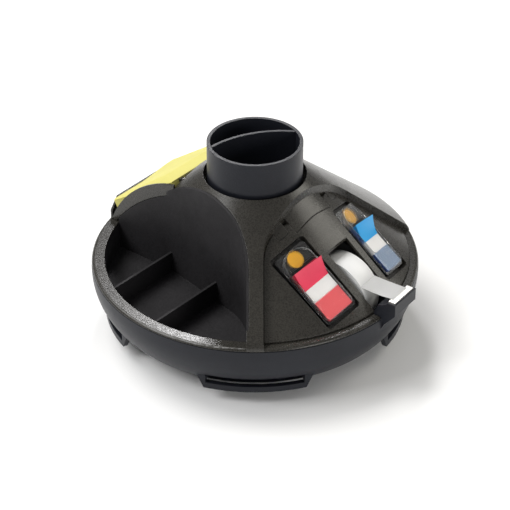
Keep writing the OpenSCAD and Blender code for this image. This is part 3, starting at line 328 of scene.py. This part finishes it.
def place_piece(name, shape, place, body, materials, stands_for=(), smooth=True):
    """Turns a shape in millimetres into a finished piece that rides on a body."""
    bmesh.ops.remove_doubles(shape, verts=shape.verts, dist=1e-5)
    bmesh.ops.transform(shape, matrix=MM @ place, verts=shape.verts)
    bmesh.ops.recalc_face_normals(shape, faces=shape.faces)
    for face in shape.faces:
        face.smooth = smooth
    mesh = bpy.data.meshes.new(name)
    shape.to_mesh(mesh)
    shape.free()
    for material in materials:
        mesh.materials.append(material)
    if smooth:
        mesh.set_sharp_from_angle(angle=SHARP_ANGLE)
    piece = bpy.data.objects.new(name, mesh)
    bpy.context.scene.collection.objects.link(piece)
    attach(piece, body)
    if stands_for:
        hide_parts(*stands_for)


def join_shapes(target, other):
    """Adds one shape to another."""
    mesh = bpy.data.meshes.new("joined")
    other.to_mesh(mesh)
    target.from_mesh(mesh)
    bpy.data.meshes.remove(mesh)
    other.free()


def slab(length, width, thickness, middle):
    """A thin block centred on a point."""
    shape = bmesh.new()
    bmesh.ops.create_cube(shape, size=1.0)
    bmesh.ops.scale(shape, vec=(length, width, thickness), verts=shape.verts)
    bmesh.ops.translate(shape, vec=middle, verts=shape.verts)
    return shape


def round_ring(length, width, radius, z, upper_radius=None, middle=0.0):
    """Points of a round-cornered outline at a height. The corners at its upper end, where x is
    least, may have a radius of their own."""
    points = []
    for side_x, side_y, start in ((1, 1, 0), (-1, 1, 90), (-1, -1, 180), (1, -1, 270)):
        corner = upper_radius if upper_radius and side_x < 0 else radius
        centre_x = middle + side_x * (length / 2 - corner)
        centre_y = side_y * (width / 2 - corner)
        for k in range(CORNER_STEPS + 1):
            angle = math.radians(start + 90 * k / CORNER_STEPS)
            points.append(Vector((centre_x + corner * math.cos(angle),
                                  centre_y + corner * math.sin(angle), z)))
    return points


def drawn_skin(rings):
    """A skin extruded from ring to ring, each with the same number of points."""
    skin = bmesh.new()
    order = skin.verts.layers.int.new("order")
    verts = [skin.verts.new(point) for point in rings[0]]
    for i, vert in enumerate(verts):
        vert[order] = i
    edges = [skin.edges.new((verts[i - 1], verts[i])) for i in range(len(verts))]
    for ring in rings[1:]:
        known = set(skin.verts)
        bmesh.ops.extrude_edge_only(skin, edges=edges)
        fresh = set(skin.verts) - known
        for vert in fresh:
            vert.co = ring[vert[order]]
        edges = [e for e in skin.edges if e.verts[0] in fresh and e.verts[1] in fresh]
    return skin


def smooth_step(x):
    """0 to 1 with soft ends."""
    x = min(max(x, 0.0), 1.0)
    return x * x * (3 - 2 * x)


# Settings


class OrganizerMouldings(bpy.types.PropertyGroup):
    """Colours and gloss of the moulded parts"""

    dome_colour: FloatVectorProperty(
        name="Dome", description="Grained black of the dome and its lids",
        subtype="COLOR", size=3, min=0.0, max=1.0, default=(0.0255, 0.0235, 0.0195))
    bowl_colour: FloatVectorProperty(
        name="Bowl and cup", description="Blue black of the bowl and pen cup",
        subtype="COLOR", size=3, min=0.0, max=1.0, default=(0.0118, 0.0130, 0.0178))
    tray_colour: FloatVectorProperty(
        name="Tray", description="Black of the storage tray",
        subtype="COLOR", size=3, min=0.0, max=1.0, default=(0.0175, 0.0165, 0.018))
    dome_roughness: FloatProperty(
        name="Dome roughness", description="Roughness of the grained skin",
        min=0.05, max=1.0, default=0.28, subtype="FACTOR")
    bowl_roughness: FloatProperty(
        name="Bowl roughness", description="Roughness of the satin skin",
        min=0.05, max=1.0, default=0.4, subtype="FACTOR")
    grain: FloatProperty(
        name="Grain", description="Grains of the dome's skin per metre",
        min=200.0, max=4000.0, default=1150.0)


class OrganizerNotes(bpy.types.PropertyGroup):
    """The pad of notes"""

    size: FloatProperty(
        name="Note size", description="Side of a note, in millimetres",
        min=40.0, max=80.0, default=76.0)
    thickness: FloatProperty(
        name="Pad thickness", description="Height of the glued pad, in millimetres",
        min=2.0, max=6.8, default=6.4)
    layers: IntProperty(
        name="Layers", description="Layers that show on the pad's sides",
        min=4, max=40, default=16)
    rise: FloatProperty(
        name="Rise", description="Height of the popped sheets over the pad, in millimetres",
        min=1.0, max=7.0, default=5.3)
    colour: FloatVectorProperty(
        name="Paper", description="Colour of the notes",
        subtype="COLOR", size=3, min=0.0, max=1.0, default=(0.62, 0.572, 0.155))


class OrganizerTape(bpy.types.PropertyGroup):
    """The roll of tape"""

    roll_radius: FloatProperty(
        name="Roll radius", description="Outside radius of the roll, in millimetres",
        min=20.0, max=29.2, default=29.0)
    core_radius: FloatProperty(
        name="Core radius", description="Radius of the card core, in millimetres",
        min=12.0, max=16.0, default=14.3)
    width: FloatProperty(
        name="Tape width", description="Width of the tape, in millimetres",
        min=12.0, max=19.5, default=19.0)
    sag: FloatProperty(
        name="Sag", description="How far the loose tape bows, in millimetres",
        min=0.0, max=2.0, default=0.8)
    colour: FloatVectorProperty(
        name="Tape", description="Colour of the wound tape",
        subtype="COLOR", size=3, min=0.0, max=1.0, default=(0.80, 0.80, 0.79))


class OrganizerFlags(bpy.types.PropertyGroup):
    """The two dispensers of page flags"""

    length: FloatProperty(
        name="Flag length", description="Length of a flag, in millimetres",
        min=38.0, max=46.0, default=43.2)
    width: FloatProperty(
        name="Flag width", description="Width of a flag, in millimetres",
        min=20.0, max=27.0, default=25.4)
    layers: IntProperty(
        name="Layers", description="Layers that show on the side of a stack",
        min=3, max=20, default=11)
    red_tab: FloatVectorProperty(
        name="Red tab", description="Popped end of a red flag",
        subtype="COLOR", size=3, min=0.0, max=1.0, default=(0.84, 0.055, 0.115))
    red_body: FloatVectorProperty(
        name="Red stack", description="Coloured end of the red stack",
        subtype="COLOR", size=3, min=0.0, max=1.0, default=(0.88, 0.125, 0.135))
    blue_tab: FloatVectorProperty(
        name="Blue tab", description="Popped end of a blue flag",
        subtype="COLOR", size=3, min=0.0, max=1.0, default=(0.018, 0.37, 0.80))
    blue_body: FloatVectorProperty(
        name="Blue stack", description="Coloured end of the blue stack",
        subtype="COLOR", size=3, min=0.0, max=1.0, default=(0.21, 0.30, 0.44))
    blue_side: FloatVectorProperty(
        name="Blue sides", description="Edges of the blue flags",
        subtype="COLOR", size=3, min=0.0, max=1.0, default=(0.008, 0.045, 0.22))
    band: FloatVectorProperty(
        name="Band", description="Milky band across each stack",
        subtype="COLOR", size=3, min=0.0, max=1.0, default=(0.80, 0.79, 0.77))
    dot: FloatVectorProperty(
        name="Dot", description="Plain round dot at the upper end of each dispenser",
        subtype="COLOR", size=3, min=0.0, max=1.0, default=(0.90, 0.45, 0.02))


class OrganizerStudio(bpy.types.PropertyGroup):
    """Camera, floor and lights"""

    distance: FloatProperty(
        name="Camera distance", description="From the camera to the middle of the organizer",
        min=0.5, max=5.0, default=1.5, unit="LENGTH", subtype="DISTANCE")
    elevation: FloatProperty(
        name="Camera elevation", description="How steeply the camera looks down",
        min=0.0, max=math.pi / 2, default=math.radians(34.1), unit="ROTATION", subtype="ANGLE")
    lens: FloatProperty(
        name="Lens", description="Focal length on a 36 mm sensor",
        min=20.0, max=300.0, default=133.6, unit="CAMERA")
    ambient: FloatProperty(
        name="Ambient", description="Strength of the white surround",
        min=0.0, max=3.0, default=0.27)
    daylight: FloatProperty(
        name="Daylight", description="Strength of the broad light from above",
        min=0.0, max=20.0, default=1.8)
    lamp_power: FloatProperty(
        name="Lamps", description="Power that each lamp round the organizer has a share of",
        min=0.0, max=200.0, default=6.5, unit="POWER")
    floor_colour: FloatVectorProperty(
        name="Floor", description="Colour of the floor",
        subtype="COLOR", size=3, min=0.0, max=1.0, default=(0.93, 0.93, 0.93))


# Operators


def dress_node(name, material):
    """Puts a finish on a CAD part."""
    for slot in frame["nodes"][name].material_slots:
        slot.material = material


class ORGANIZER_OT_mouldings(bpy.types.Operator):
    """Finish the plastic and rubber parts of the base, bowl, dome, tray, cup and lids"""

    bl_idname = "organizer.mouldings"
    bl_label = "Finish the Mouldings"

    def execute(self, context):
        look = context.scene.organizer_mouldings
        grained = moulded_plastic("Grained black moulding", look.dome_colour, look.dome_roughness,
                                  look.grain, depth=0.00007, radius=0.0006, worn=1.5,
                                  speckle=0.15, gloss=0.45)
        satin = moulded_plastic("Satin blue black moulding", look.bowl_colour, look.bowl_roughness,
                                grain=2200.0, depth=0.00004, radius=0.0006, gloss=0.24)
        tray = moulded_plastic("Grained black tray", look.tray_colour, roughness=0.6,
                               grain=1300.0, depth=0.0001, speckle=0.2, gloss=0.22)
        base = moulded_plastic("Plain black base", (0.014, 0.014, 0.015), roughness=0.45,
                               grain=1500.0, depth=0.00008)
        ivory = moulded_plastic("Ivory sliding ring", (0.70, 0.66, 0.55), roughness=0.4,
                                grain=2500.0, depth=0.00002, worn=1.1)
        hub = moulded_plastic("Black tape hub", (0.012, 0.012, 0.013), roughness=0.35,
                              grain=2000.0, depth=0.00003)
        feet = rubber_finish("Grey black rubber", (0.022, 0.022, 0.023))
        for name, material in (
                ("dome_cover", grained), ("flag_panel", grained), ("notes_holder", grained),
                ("lower_bowl", satin), ("pen_cup", satin), ("cup_divider", satin),
                ("tape_cradle", satin), ("storage_tray", tray), ("base_plate", base),
                ("glide_ring", ivory), ("tape_hub", hub), ("base_feet", feet)):
            dress_node(name, material)
        return {"FINISHED"}


class ORGANIZER_OT_metalwork(bpy.types.Operator):
    """Finish the screws, washer, hinge pins and the cutter's blade"""

    bl_idname = "organizer.metalwork"
    bl_label = "Finish the Metal Parts"

    def execute(self, context):
        zinc = plated_metal("Zinc plated steel", (0.60, 0.61, 0.63), 0.32)
        blade = plated_metal("Ground blade steel", (0.84, 0.82, 0.78), 0.38, FLAG_FRAME)
        black = plated_metal("Blackened steel", (0.10, 0.10, 0.11), 0.42)
        for name, material in (
                ("pivot_screw", zinc), ("pivot_washer", zinc), ("assembly_screws", zinc),
                ("flag_hinge_pin", black), ("notes_hinge_pin", black), ("cutter_blade", blade)):
            dress_node(name, material)
        return {"FINISHED"}


class ORGANIZER_OT_notes(bpy.types.Operator):
    """Make the pad of notes and the popped sheets on it"""

    bl_idname = "organizer.notes"
    bl_label = "Make the Notes"

    sheet_thickness = 0.12
    pad_play = 0.06

    def execute(self, context):
        notes = context.scene.organizer_notes
        paper = card_finish("Yellow note paper", notes.colour, 0.6, fibre=900.0)
        edges = card_finish("Yellow paper edges", lighten(notes.colour, 0.93), 0.7, fibre=1500.0)
        self.make_pad(notes, edges)
        self.make_popped_sheets(notes, paper)
        return {"FINISHED"}

    def make_pad(self, notes, paper):
        """The glued pad, whose layers lie a hair out of line."""
        hand = random.Random(7)
        layer = notes.thickness / notes.layers
        pad = bmesh.new()
        for i in range(notes.layers):
            side = notes.size - 0.12 - 0.25 * hand.random()
            middle = (notes.size / 2 + hand.uniform(-self.pad_play, self.pad_play),
                      PAD_MIDDLE + hand.uniform(-self.pad_play, self.pad_play),
                      -notes.thickness + (i + 0.5) * layer)
            join_shapes(pad, slab(side, side, layer * 0.94, middle))
        place_piece("note_pad", pad, PAD_FRAME, "notes_lid", [paper],
                    ["notes_pad"], smooth=False)

    def make_popped_sheets(self, notes, paper):
        """Three sheets that the last pull has lifted: they fold down along the upper edge and the
        near side."""
        sheaf = bmesh.new()
        for share, inset in ((0.52, 0.5), (0.78, 0.3), (1.0, 0.0)):
            side = notes.size - 2 * inset
            sheet = bmesh.new()
            bmesh.ops.create_grid(sheet, x_segments=64, y_segments=64, size=0.5)
            bmesh.ops.scale(sheet, vec=(side, side, 1), verts=sheet.verts)
            bmesh.ops.translate(sheet, vec=(notes.size / 2, PAD_MIDDLE, 0), verts=sheet.verts)
            for vert in sheet.verts:
                vert.co.z = (share * self.lift(vert.co.x, vert.co.y, notes.rise)
                             + self.sheet_thickness * share)
            bmesh.ops.solidify(sheet, geom=sheet.faces[:], thickness=self.sheet_thickness)
            join_shapes(sheaf, sheet)
        place_piece("popped_notes", sheaf, PAD_FRAME, "notes_lid", [paper],
                    ["notes_sheet"])

    @staticmethod
    def lift(x, y, rise):
        """Height of the top sheet over the pad: the lowest of a main slope from the fold to the
        outer edge and two short slopes, up from the upper edge and up from the near side."""
        fold_x = 9 + 5 * (y - PAD_FAR) / 65
        outer_height = 1.1 + 2.3 * smooth_step(-y / 40)
        main = rise + (outer_height - rise) * min(max((x - fold_x) / 62, 0), 1) ** 1.3
        upper = 0.3 + (rise - 0.3) * x / fold_x
        near = 0.15 + rise * (PAD_NEAR - y) / 11.5
        soft = 0.2
        blended = -soft * math.log(math.exp(-main / soft) + math.exp(-near / soft))
        return max(min(blended, upper), 0.1)


class ORGANIZER_OT_tape(bpy.types.Operator):
    """Make the wound roll of tape and its loose end on the blade"""

    bl_idname = "organizer.tape"
    bl_label = "Make the Tape"

    turns = 14
    roll_steps = 144

    # The loose end leaves the roll at an angle and radius, and rests on the blade from one point
    # to another, given as distance out and height
    leave_angle = math.radians(35)
    leave_radius = 29.3
    blade_start = (132.4, 74.25)
    blade_end = (134.6, 74.24)
    film_thickness = 0.12
    cut_steps = 29
    cut_depth = 0.5

    def execute(self, context):
        tape = context.scene.organizer_tape
        place = MM @ FLAG_FRAME @ moved(*TAPE_AXIS)
        dress_node("tape_core", card_finish("Brown card core", (0.46, 0.33, 0.20), 0.8,
                                            fibre=700.0))
        self.make_roll(tape, wound_film("Wound matt tape", tape.colour, place))
        self.make_tail(tape, frosted_film("Loose matt tape", lighten(tape.colour, 0.86)))
        return {"FINISHED"}

    def make_roll(self, tape, film):
        """The roll: a profile with uneven turns, spun round the axis."""
        hand = random.Random(3)
        half = tape.width / 2
        step = (tape.roll_radius - tape.core_radius) / self.turns
        profile = [(tape.core_radius, half - 0.15)]
        profile += [(tape.core_radius + (i + 0.5) * step, half - 0.02 - 0.1 * hand.random())
                    for i in range(self.turns)]
        profile += [(tape.roll_radius - 0.12, half - 0.05), (tape.roll_radius, half - 0.25)]
        points = profile + [(r, -y) for r, y in reversed(profile)]
        roll = bmesh.new()
        corners = [roll.verts.new((r, y, 0)) for r, y in points]
        loop = [roll.edges.new((corners[i], corners[(i + 1) % len(corners)]))
                for i in range(len(corners))]
        bmesh.ops.spin(roll, geom=corners + loop, cent=(0, 0, 0), axis=(0, 1, 0), dvec=(0, 0, 0),
                       angle=2 * math.pi, steps=self.roll_steps, use_merge=True)
        place_piece("tape_wound", roll, FLAG_FRAME @ moved(*TAPE_AXIS), "tape",
                    [film], ["tape_roll"])

    def make_tail(self, tape, film):
        """The loose end: from the roll to the blade in a shallow bow, flat on the blade, with a
        toothed cut."""
        start = Vector((TAPE_AXIS.x + self.leave_radius * math.cos(self.leave_angle),
                        TAPE_AXIS.z + self.leave_radius * math.sin(self.leave_angle)))
        rest = Vector(self.blade_start)
        end = Vector(self.blade_end)
        free = (rest.x - start.x) / (end.x - start.x)
        tail = bmesh.new()
        bmesh.ops.create_grid(tail, x_segments=40, y_segments=self.cut_steps, size=0.5)
        for vert in tail.verts:
            share = vert.co.x + 0.5
            across = vert.co.y
            tooth = 0.0
            if share > 0.999:
                odd = round((across + 0.5) * self.cut_steps) % 2
                tooth = self.cut_depth if odd else -self.cut_depth
            if share < free:
                reach = share / free
                point = start.lerp(rest, reach)
                point.y -= tape.sag * math.sin(math.pi * reach) * (0.35 + 0.65 * (0.5 - across))
            else:
                point = rest.lerp(end, (share - free) / (1 - free))
            vert.co = Vector((point.x + tooth, across * tape.width, point.y))
        bmesh.ops.solidify(tail, geom=tail.faces[:], thickness=self.film_thickness)
        place_piece("tape_loose_end", tail, FLAG_FRAME, "turning_body", [film],
                    ["tape_tail"])


class ORGANIZER_OT_flags(bpy.types.Operator):
    """Make the two dispensers of page flags: stacks, popped tabs, plain dots and clear covers"""

    bl_idname = "organizer.flags"
    bl_label = "Make the Flags"

    # Heights over the panel, and places down the slope from the middle of the pocket
    case_top = -1.4
    stack_low = -5.35
    stack_top = 0.35
    stack_start = -14.25
    tab_root = 0.75
    band_end = 11.8
    dot_x = -22.8
    dot_radius = 6.6
    dot_thickness = 0.05
    cover_top = 1.6
    cover_thickness = 0.25
    window_x = -2.3

    # Order of the materials on a stack, on a tab and on a cover
    body_slot, band_slot, tab_slot, edge_slot = range(4)
    leaf_slot, under_slot = range(2)
    clear_slot, rim_slot, bend_slot = range(3)

    def execute(self, context):
        flags = context.scene.organizer_flags
        card = card_finish("Black dispenser card", (0.007, 0.007, 0.0075), 0.3, fibre=800.0)
        clear = clear_plastic("Clear cover", (0.97, 0.98, 1.0), alpha=0.32, roughness=0.06)
        # Clear plastic coloured almost black for the window's edges: a painted dark outline that
        # stands in for the darkness refraction shows there.
        rim = clear_plastic("Clear cover edges painted dark", (0.03, 0.03, 0.035), alpha=0.85, roughness=0.12)
        bend = clear_plastic("Clear cover bends", (0.90, 0.92, 0.95), alpha=0.7, roughness=0.3)
        band = card_finish("Milky flag band", flags.band, 0.38, fibre=600.0)
        dot = card_finish("Amber dot", flags.dot, 0.4, fibre=700.0)
        for name, side, tab, body, edge in (
                ("red", -1, flags.red_tab, flags.red_body, lighten(flags.red_body, 0.45)),
                ("blue", 1, flags.blue_tab, flags.blue_body, flags.blue_side)):
            place = pocket_frame(side)
            title = name.title()
            body_film = card_finish(title + " flag film", body, 0.36, fibre=600.0)
            tab_film = card_finish(title + " tab film", tab, 0.34, fibre=600.0)
            edge_film = card_finish(title + " flag edges", edge, 0.45, fibre=900.0)
            # The lower leaf's film is the tab colour painted darker: painted shade under the popped
            # flag.
            under_film_painted_shade = card_finish(title + " under film with painted shade", lighten(tab, 0.55), 0.34, fibre=600.0)
            dress_node(name + "_flag_case", card)
            self.make_stack(flags, name, place, [body_film, band, tab_film, edge_film])
            self.make_tab(flags, name, place, [tab_film, under_film_painted_shade])
            self.make_dot(name, place, dot)
            self.make_cover(name, place, [clear, rim, bend])
        return {"FINISHED"}

    def make_stack(self, flags, name, place, materials):
        """A stack of flags whose top shows a coloured end, a milky band and the root of the tab."""
        hand = random.Random(11 if name == "red" else 12)
        step = (self.stack_top - self.stack_low) / flags.layers
        middle = self.stack_start + flags.length / 2
        play = 0.12
        stack = bmesh.new()
        for i in range(flags.layers):
            length = flags.length - 0.2 * hand.random()
            width = flags.width - 0.2 * hand.random()
            centre = (middle + hand.uniform(-play, play), hand.uniform(-play, play),
                      self.stack_low + (i + 0.5) * step)
            layer = slab(length, width, step * 0.93, centre)
            on_top = i == flags.layers - 1
            for face in layer.faces:
                shows = on_top and face.normal.z > 0.5
                face.material_index = self.body_slot if shows else self.edge_slot
            join_shapes(stack, layer)
        for x in (self.tab_root, self.band_end):
            bmesh.ops.bisect_plane(stack, geom=stack.verts[:] + stack.edges[:] + stack.faces[:],
                                   plane_co=(x, 0, 0), plane_no=(1, 0, 0))
        for face in stack.faces:
            x = face.calc_center_median().x
            in_band = self.tab_root < x < self.band_end
            if face.material_index == self.body_slot and x < self.tab_root:
                face.material_index = self.tab_slot
            elif in_band and (face.material_index == self.body_slot or abs(face.normal.y) > 0.5):
                face.material_index = self.band_slot
        place_piece(name + "_flag_sheets", stack, place, "flag_lid", materials,
                    [name + "_flag_stack"], smooth=False)

    def make_tab(self, flags, name, place, films):
        """The popped flag: it curls up from its root and twists a little, over the edge of the one
        below, whose film is the tab colour painted darker as shade."""
        length = self.tab_root - self.stack_start
        tab = bmesh.new()
        # The lower, flatter leaf takes the darker film: painted shade under the upper leaf.
        for height, skew, spread, shift, film in (
                (0.3, 0.0, 0.0, -0.3, self.under_slot), (1.0, 0.06, 1.3, 0.4, self.leaf_slot)):
            leaf = bmesh.new()
            bmesh.ops.create_grid(leaf, x_segments=20, y_segments=16, size=0.5)
            for vert in leaf.verts:
                out = 0.5 - vert.co.x
                across = vert.co.y
                rise = height * (4.3 * out ** 1.4 + 2.6 * out * out * (across + 0.5))
                x = (self.tab_root - length * out * (1 - 0.05 * height)
                     + skew * flags.width * across * out)
                y = across * flags.width + (shift + spread * (across + 0.5)) * out
                vert.co = Vector((x, y, self.stack_top + 0.06 + rise))
            bmesh.ops.solidify(leaf, geom=leaf.faces[:], thickness=0.1)
            for face in leaf.faces:
                face.material_index = film
            join_shapes(tab, leaf)
        place_piece(name + "_popped_flag", tab, place, "flag_lid", films,
                    [name + "_flag_tab"])

    def make_dot(self, name, place, film):
        """A plain round dot printed on the card."""
        dot = bmesh.new()
        bmesh.ops.create_circle(dot, cap_ends=True, cap_tris=False, segments=48,
                                radius=self.dot_radius)
        bmesh.ops.translate(dot, vec=(self.dot_x, 0, self.case_top + self.dot_thickness),
                            verts=dot.verts)
        raised = bmesh.ops.extrude_face_region(dot, geom=dot.faces[:])["geom"]
        bmesh.ops.translate(dot, vec=(0, 0, self.dot_thickness),
                            verts=[v for v in raised if isinstance(v, bmesh.types.BMVert)])
        place_piece(name + "_card_dot", dot, place, "flag_lid", [film])

    def make_cover(self, name, place, materials):
        """The clear cover: a blown lid with a flange, round edges and a window over the flags."""
        low = self.case_top + 0.06
        high = self.cover_top - 0.02
        window = self.window_x
        cover = drawn_skin((
            round_ring(62.3, 31.2, 3.4, low),
            round_ring(60.4, 29.4, 5.4, low + 0.02, upper_radius=12.6),
            round_ring(60.0, 29.0, 5.2, low + 0.3, upper_radius=12.4),
            round_ring(59.2, 28.4, 5.0, high - 0.9, upper_radius=12.1),
            round_ring(58.8, 28.1, 4.8, high - 0.45, upper_radius=11.9),
            round_ring(58.1, 27.6, 4.5, high - 0.12, upper_radius=11.6),
            round_ring(57.2, 27.2, 4.2, high, upper_radius=11.2),
            round_ring(29.2, 26.7, 3.6, high, middle=window),
            round_ring(28.8, 26.4, 3.4, high - 0.1, middle=window),
            round_ring(28.6, 26.2, 3.3, high - 0.7, middle=window)))
        for face in cover.faces:
            middle = face.calc_center_median()
            near_window = abs(middle.x - window) < 14.35 and abs(middle.y) < 13.3
            # Faces round the window, below the top, take the nearly black glass: painted dark
            # outline.
            if near_window and middle.z < high - 0.05:
                face.material_index = self.rim_slot
            elif low + 0.5 < middle.z < high - 0.02:
                face.material_index = self.bend_slot
            else:
                face.material_index = self.clear_slot
        bmesh.ops.solidify(cover, geom=cover.faces[:], thickness=self.cover_thickness)
        place_piece(name + "_clear_cover", cover, place, "flag_lid", materials,
                    [name + "_flag_cover"])


class ORGANIZER_OT_studio(bpy.types.Operator):
    """Set up the floor, the soft lights and the camera"""

    bl_idname = "organizer.studio"
    bl_label = "Set Up the Studio"

    # Point that the lamps look at, and height that the camera looks at, in metres
    lit_point = Vector((0, 0, 0.06))
    camera_target = 0.0558

    def execute(self, context):
        studio = context.scene.organizer_studio
        self.make_floor(context, studio)
        self.make_surround(context, studio)
        self.make_lights(context, studio)
        self.make_camera(context, studio)
        return {"FINISHED"}

    def make_floor(self, context, studio):
        """A plain pale floor."""
        floor = bmesh.new()
        bmesh.ops.create_grid(floor, x_segments=8, y_segments=8, size=4.0)
        mesh = bpy.data.meshes.new("studio_floor")
        floor.to_mesh(mesh)
        floor.free()
        material, tree, shader = new_finish("Pale floor")
        cloud = add_noise(tree, object_space(tree), scale=1.2, detail=2.0)
        tree.links.new(add_ramp(tree, cloud, lighten(studio.floor_colour, 0.995),
                                studio.floor_colour), shader.inputs["Base Color"])
        shader.inputs["Roughness"].default_value = 0.9
        shader.inputs["Specular IOR Level"].default_value = 0.1
        mesh.materials.append(material)
        piece = bpy.data.objects.new("studio_floor", mesh)
        context.scene.collection.objects.link(piece)

    def make_surround(self, context, studio):
        """An even white surround."""
        world = bpy.data.worlds.new("Studio surround")
        world.use_nodes = True
        background = world.node_tree.nodes["Background"]
        background.inputs["Color"].default_value = (1.0, 1.0, 1.0, 1.0)
        background.inputs["Strength"].default_value = studio.ambient
        context.scene.world = world
        context.scene.view_settings.view_transform = "Standard"

    def make_lights(self, context, studio):
        """Broad daylight from above, soft lights round it, and a small one behind that shines
        along the rim."""
        for name, place, size, depth, share, colour in (
                ("Left light", (-0.8, -0.35, 0.85), 0.5, 0.5, 1.05, (1.0, 1.0, 1.0)),
                ("Right light", (0.98, 0.4, 0.84), 0.6, 0.6, 0.65, (1.0, 0.97, 0.88)),
                ("Front light", (0.85, -1.05, 0.45), 0.6, 0.4, 0.75, (1.0, 0.99, 0.97)),
                ("Rim light", (-0.05, 0.88, 0.85), 0.18, 0.18, 0.6, (1.0, 0.99, 1.0))):
            data = bpy.data.lights.new(name, "AREA")
            data.shape = "RECTANGLE"
            data.size = size
            data.size_y = depth
            self.hang_light(context, data, place, studio.lamp_power * share, colour)
        data = bpy.data.lights.new("Overhead light", "SUN")
        data.angle = math.radians(34)
        self.hang_light(context, data, (-0.55, 0.42, 1.08), studio.daylight, (1.0, 0.99, 0.97))

    def hang_light(self, context, data, place, power, colour):
        """A lamp that looks at the organizer."""
        data.energy = power
        data.color = colour
        light = bpy.data.objects.new(data.name, data)
        light.location = place
        aim = self.lit_point - Vector(place)
        light.rotation_euler = aim.to_track_quat("-Z", "Y").to_euler()
        context.scene.collection.objects.link(light)

    def make_camera(self, context, studio):
        """The camera, level and square to the front."""
        data = bpy.data.cameras.new("Camera")
        data.lens = studio.lens
        data.sensor_width = 36.0
        data.sensor_fit = "HORIZONTAL"
        data.clip_start = 0.05
        camera = bpy.data.objects.new("Camera", data)
        camera.location = (0.0, -studio.distance * math.cos(studio.elevation),
                           self.camera_target + studio.distance * math.sin(studio.elevation))
        camera.rotation_euler = (math.pi / 2 - studio.elevation, 0.0, 0.0)
        context.scene.collection.objects.link(camera)
        context.scene.camera = camera


# Panel and registration


class ORGANIZER_PT_sidebar(bpy.types.Panel):
    """The organizer's pieces and their settings"""

    bl_idname = "ORGANIZER_PT_sidebar"
    bl_label = "Desk Organizer"
    bl_space_type = "VIEW_3D"
    bl_region_type = "UI"
    bl_category = "Organizer"

    def draw(self, context):
        for operator, settings in STEPS:
            box = self.layout.box()
            box.operator(operator)
            if settings:
                group = getattr(context.scene, settings)
                for name in group.__annotations__:
                    box.prop(group, name)


STEPS = (
    ("organizer.mouldings", "organizer_mouldings"),
    ("organizer.metalwork", None),
    ("organizer.notes", "organizer_notes"),
    ("organizer.tape", "organizer_tape"),
    ("organizer.flags", "organizer_flags"),
    ("organizer.studio", "organizer_studio"),
)

SETTINGS = (
    ("organizer_mouldings", OrganizerMouldings),
    ("organizer_notes", OrganizerNotes),
    ("organizer_tape", OrganizerTape),
    ("organizer_flags", OrganizerFlags),
    ("organizer_studio", OrganizerStudio),
)

CLASSES = (
    OrganizerMouldings,
    OrganizerNotes,
    OrganizerTape,
    OrganizerFlags,
    OrganizerStudio,
    ORGANIZER_OT_mouldings,
    ORGANIZER_OT_metalwork,
    ORGANIZER_OT_notes,
    ORGANIZER_OT_tape,
    ORGANIZER_OT_flags,
    ORGANIZER_OT_studio,
    ORGANIZER_PT_sidebar,
)


def register():
    for cls in CLASSES:
        bpy.utils.register_class(cls)
    for name, group in SETTINGS:
        setattr(bpy.types.Scene, name, PointerProperty(type=group))


def unregister():
    for name, group in reversed(SETTINGS):
        delattr(bpy.types.Scene, name)
    for cls in reversed(CLASSES):
        bpy.utils.unregister_class(cls)


def main():
    """Registers the classes and runs the steps in order."""
    register()
    bpy.ops.organizer.mouldings()
    bpy.ops.organizer.metalwork()
    bpy.ops.organizer.notes()
    bpy.ops.organizer.tape()
    bpy.ops.organizer.flags()
    bpy.ops.organizer.studio()
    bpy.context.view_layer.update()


if __name__ == "__main__":
    main()
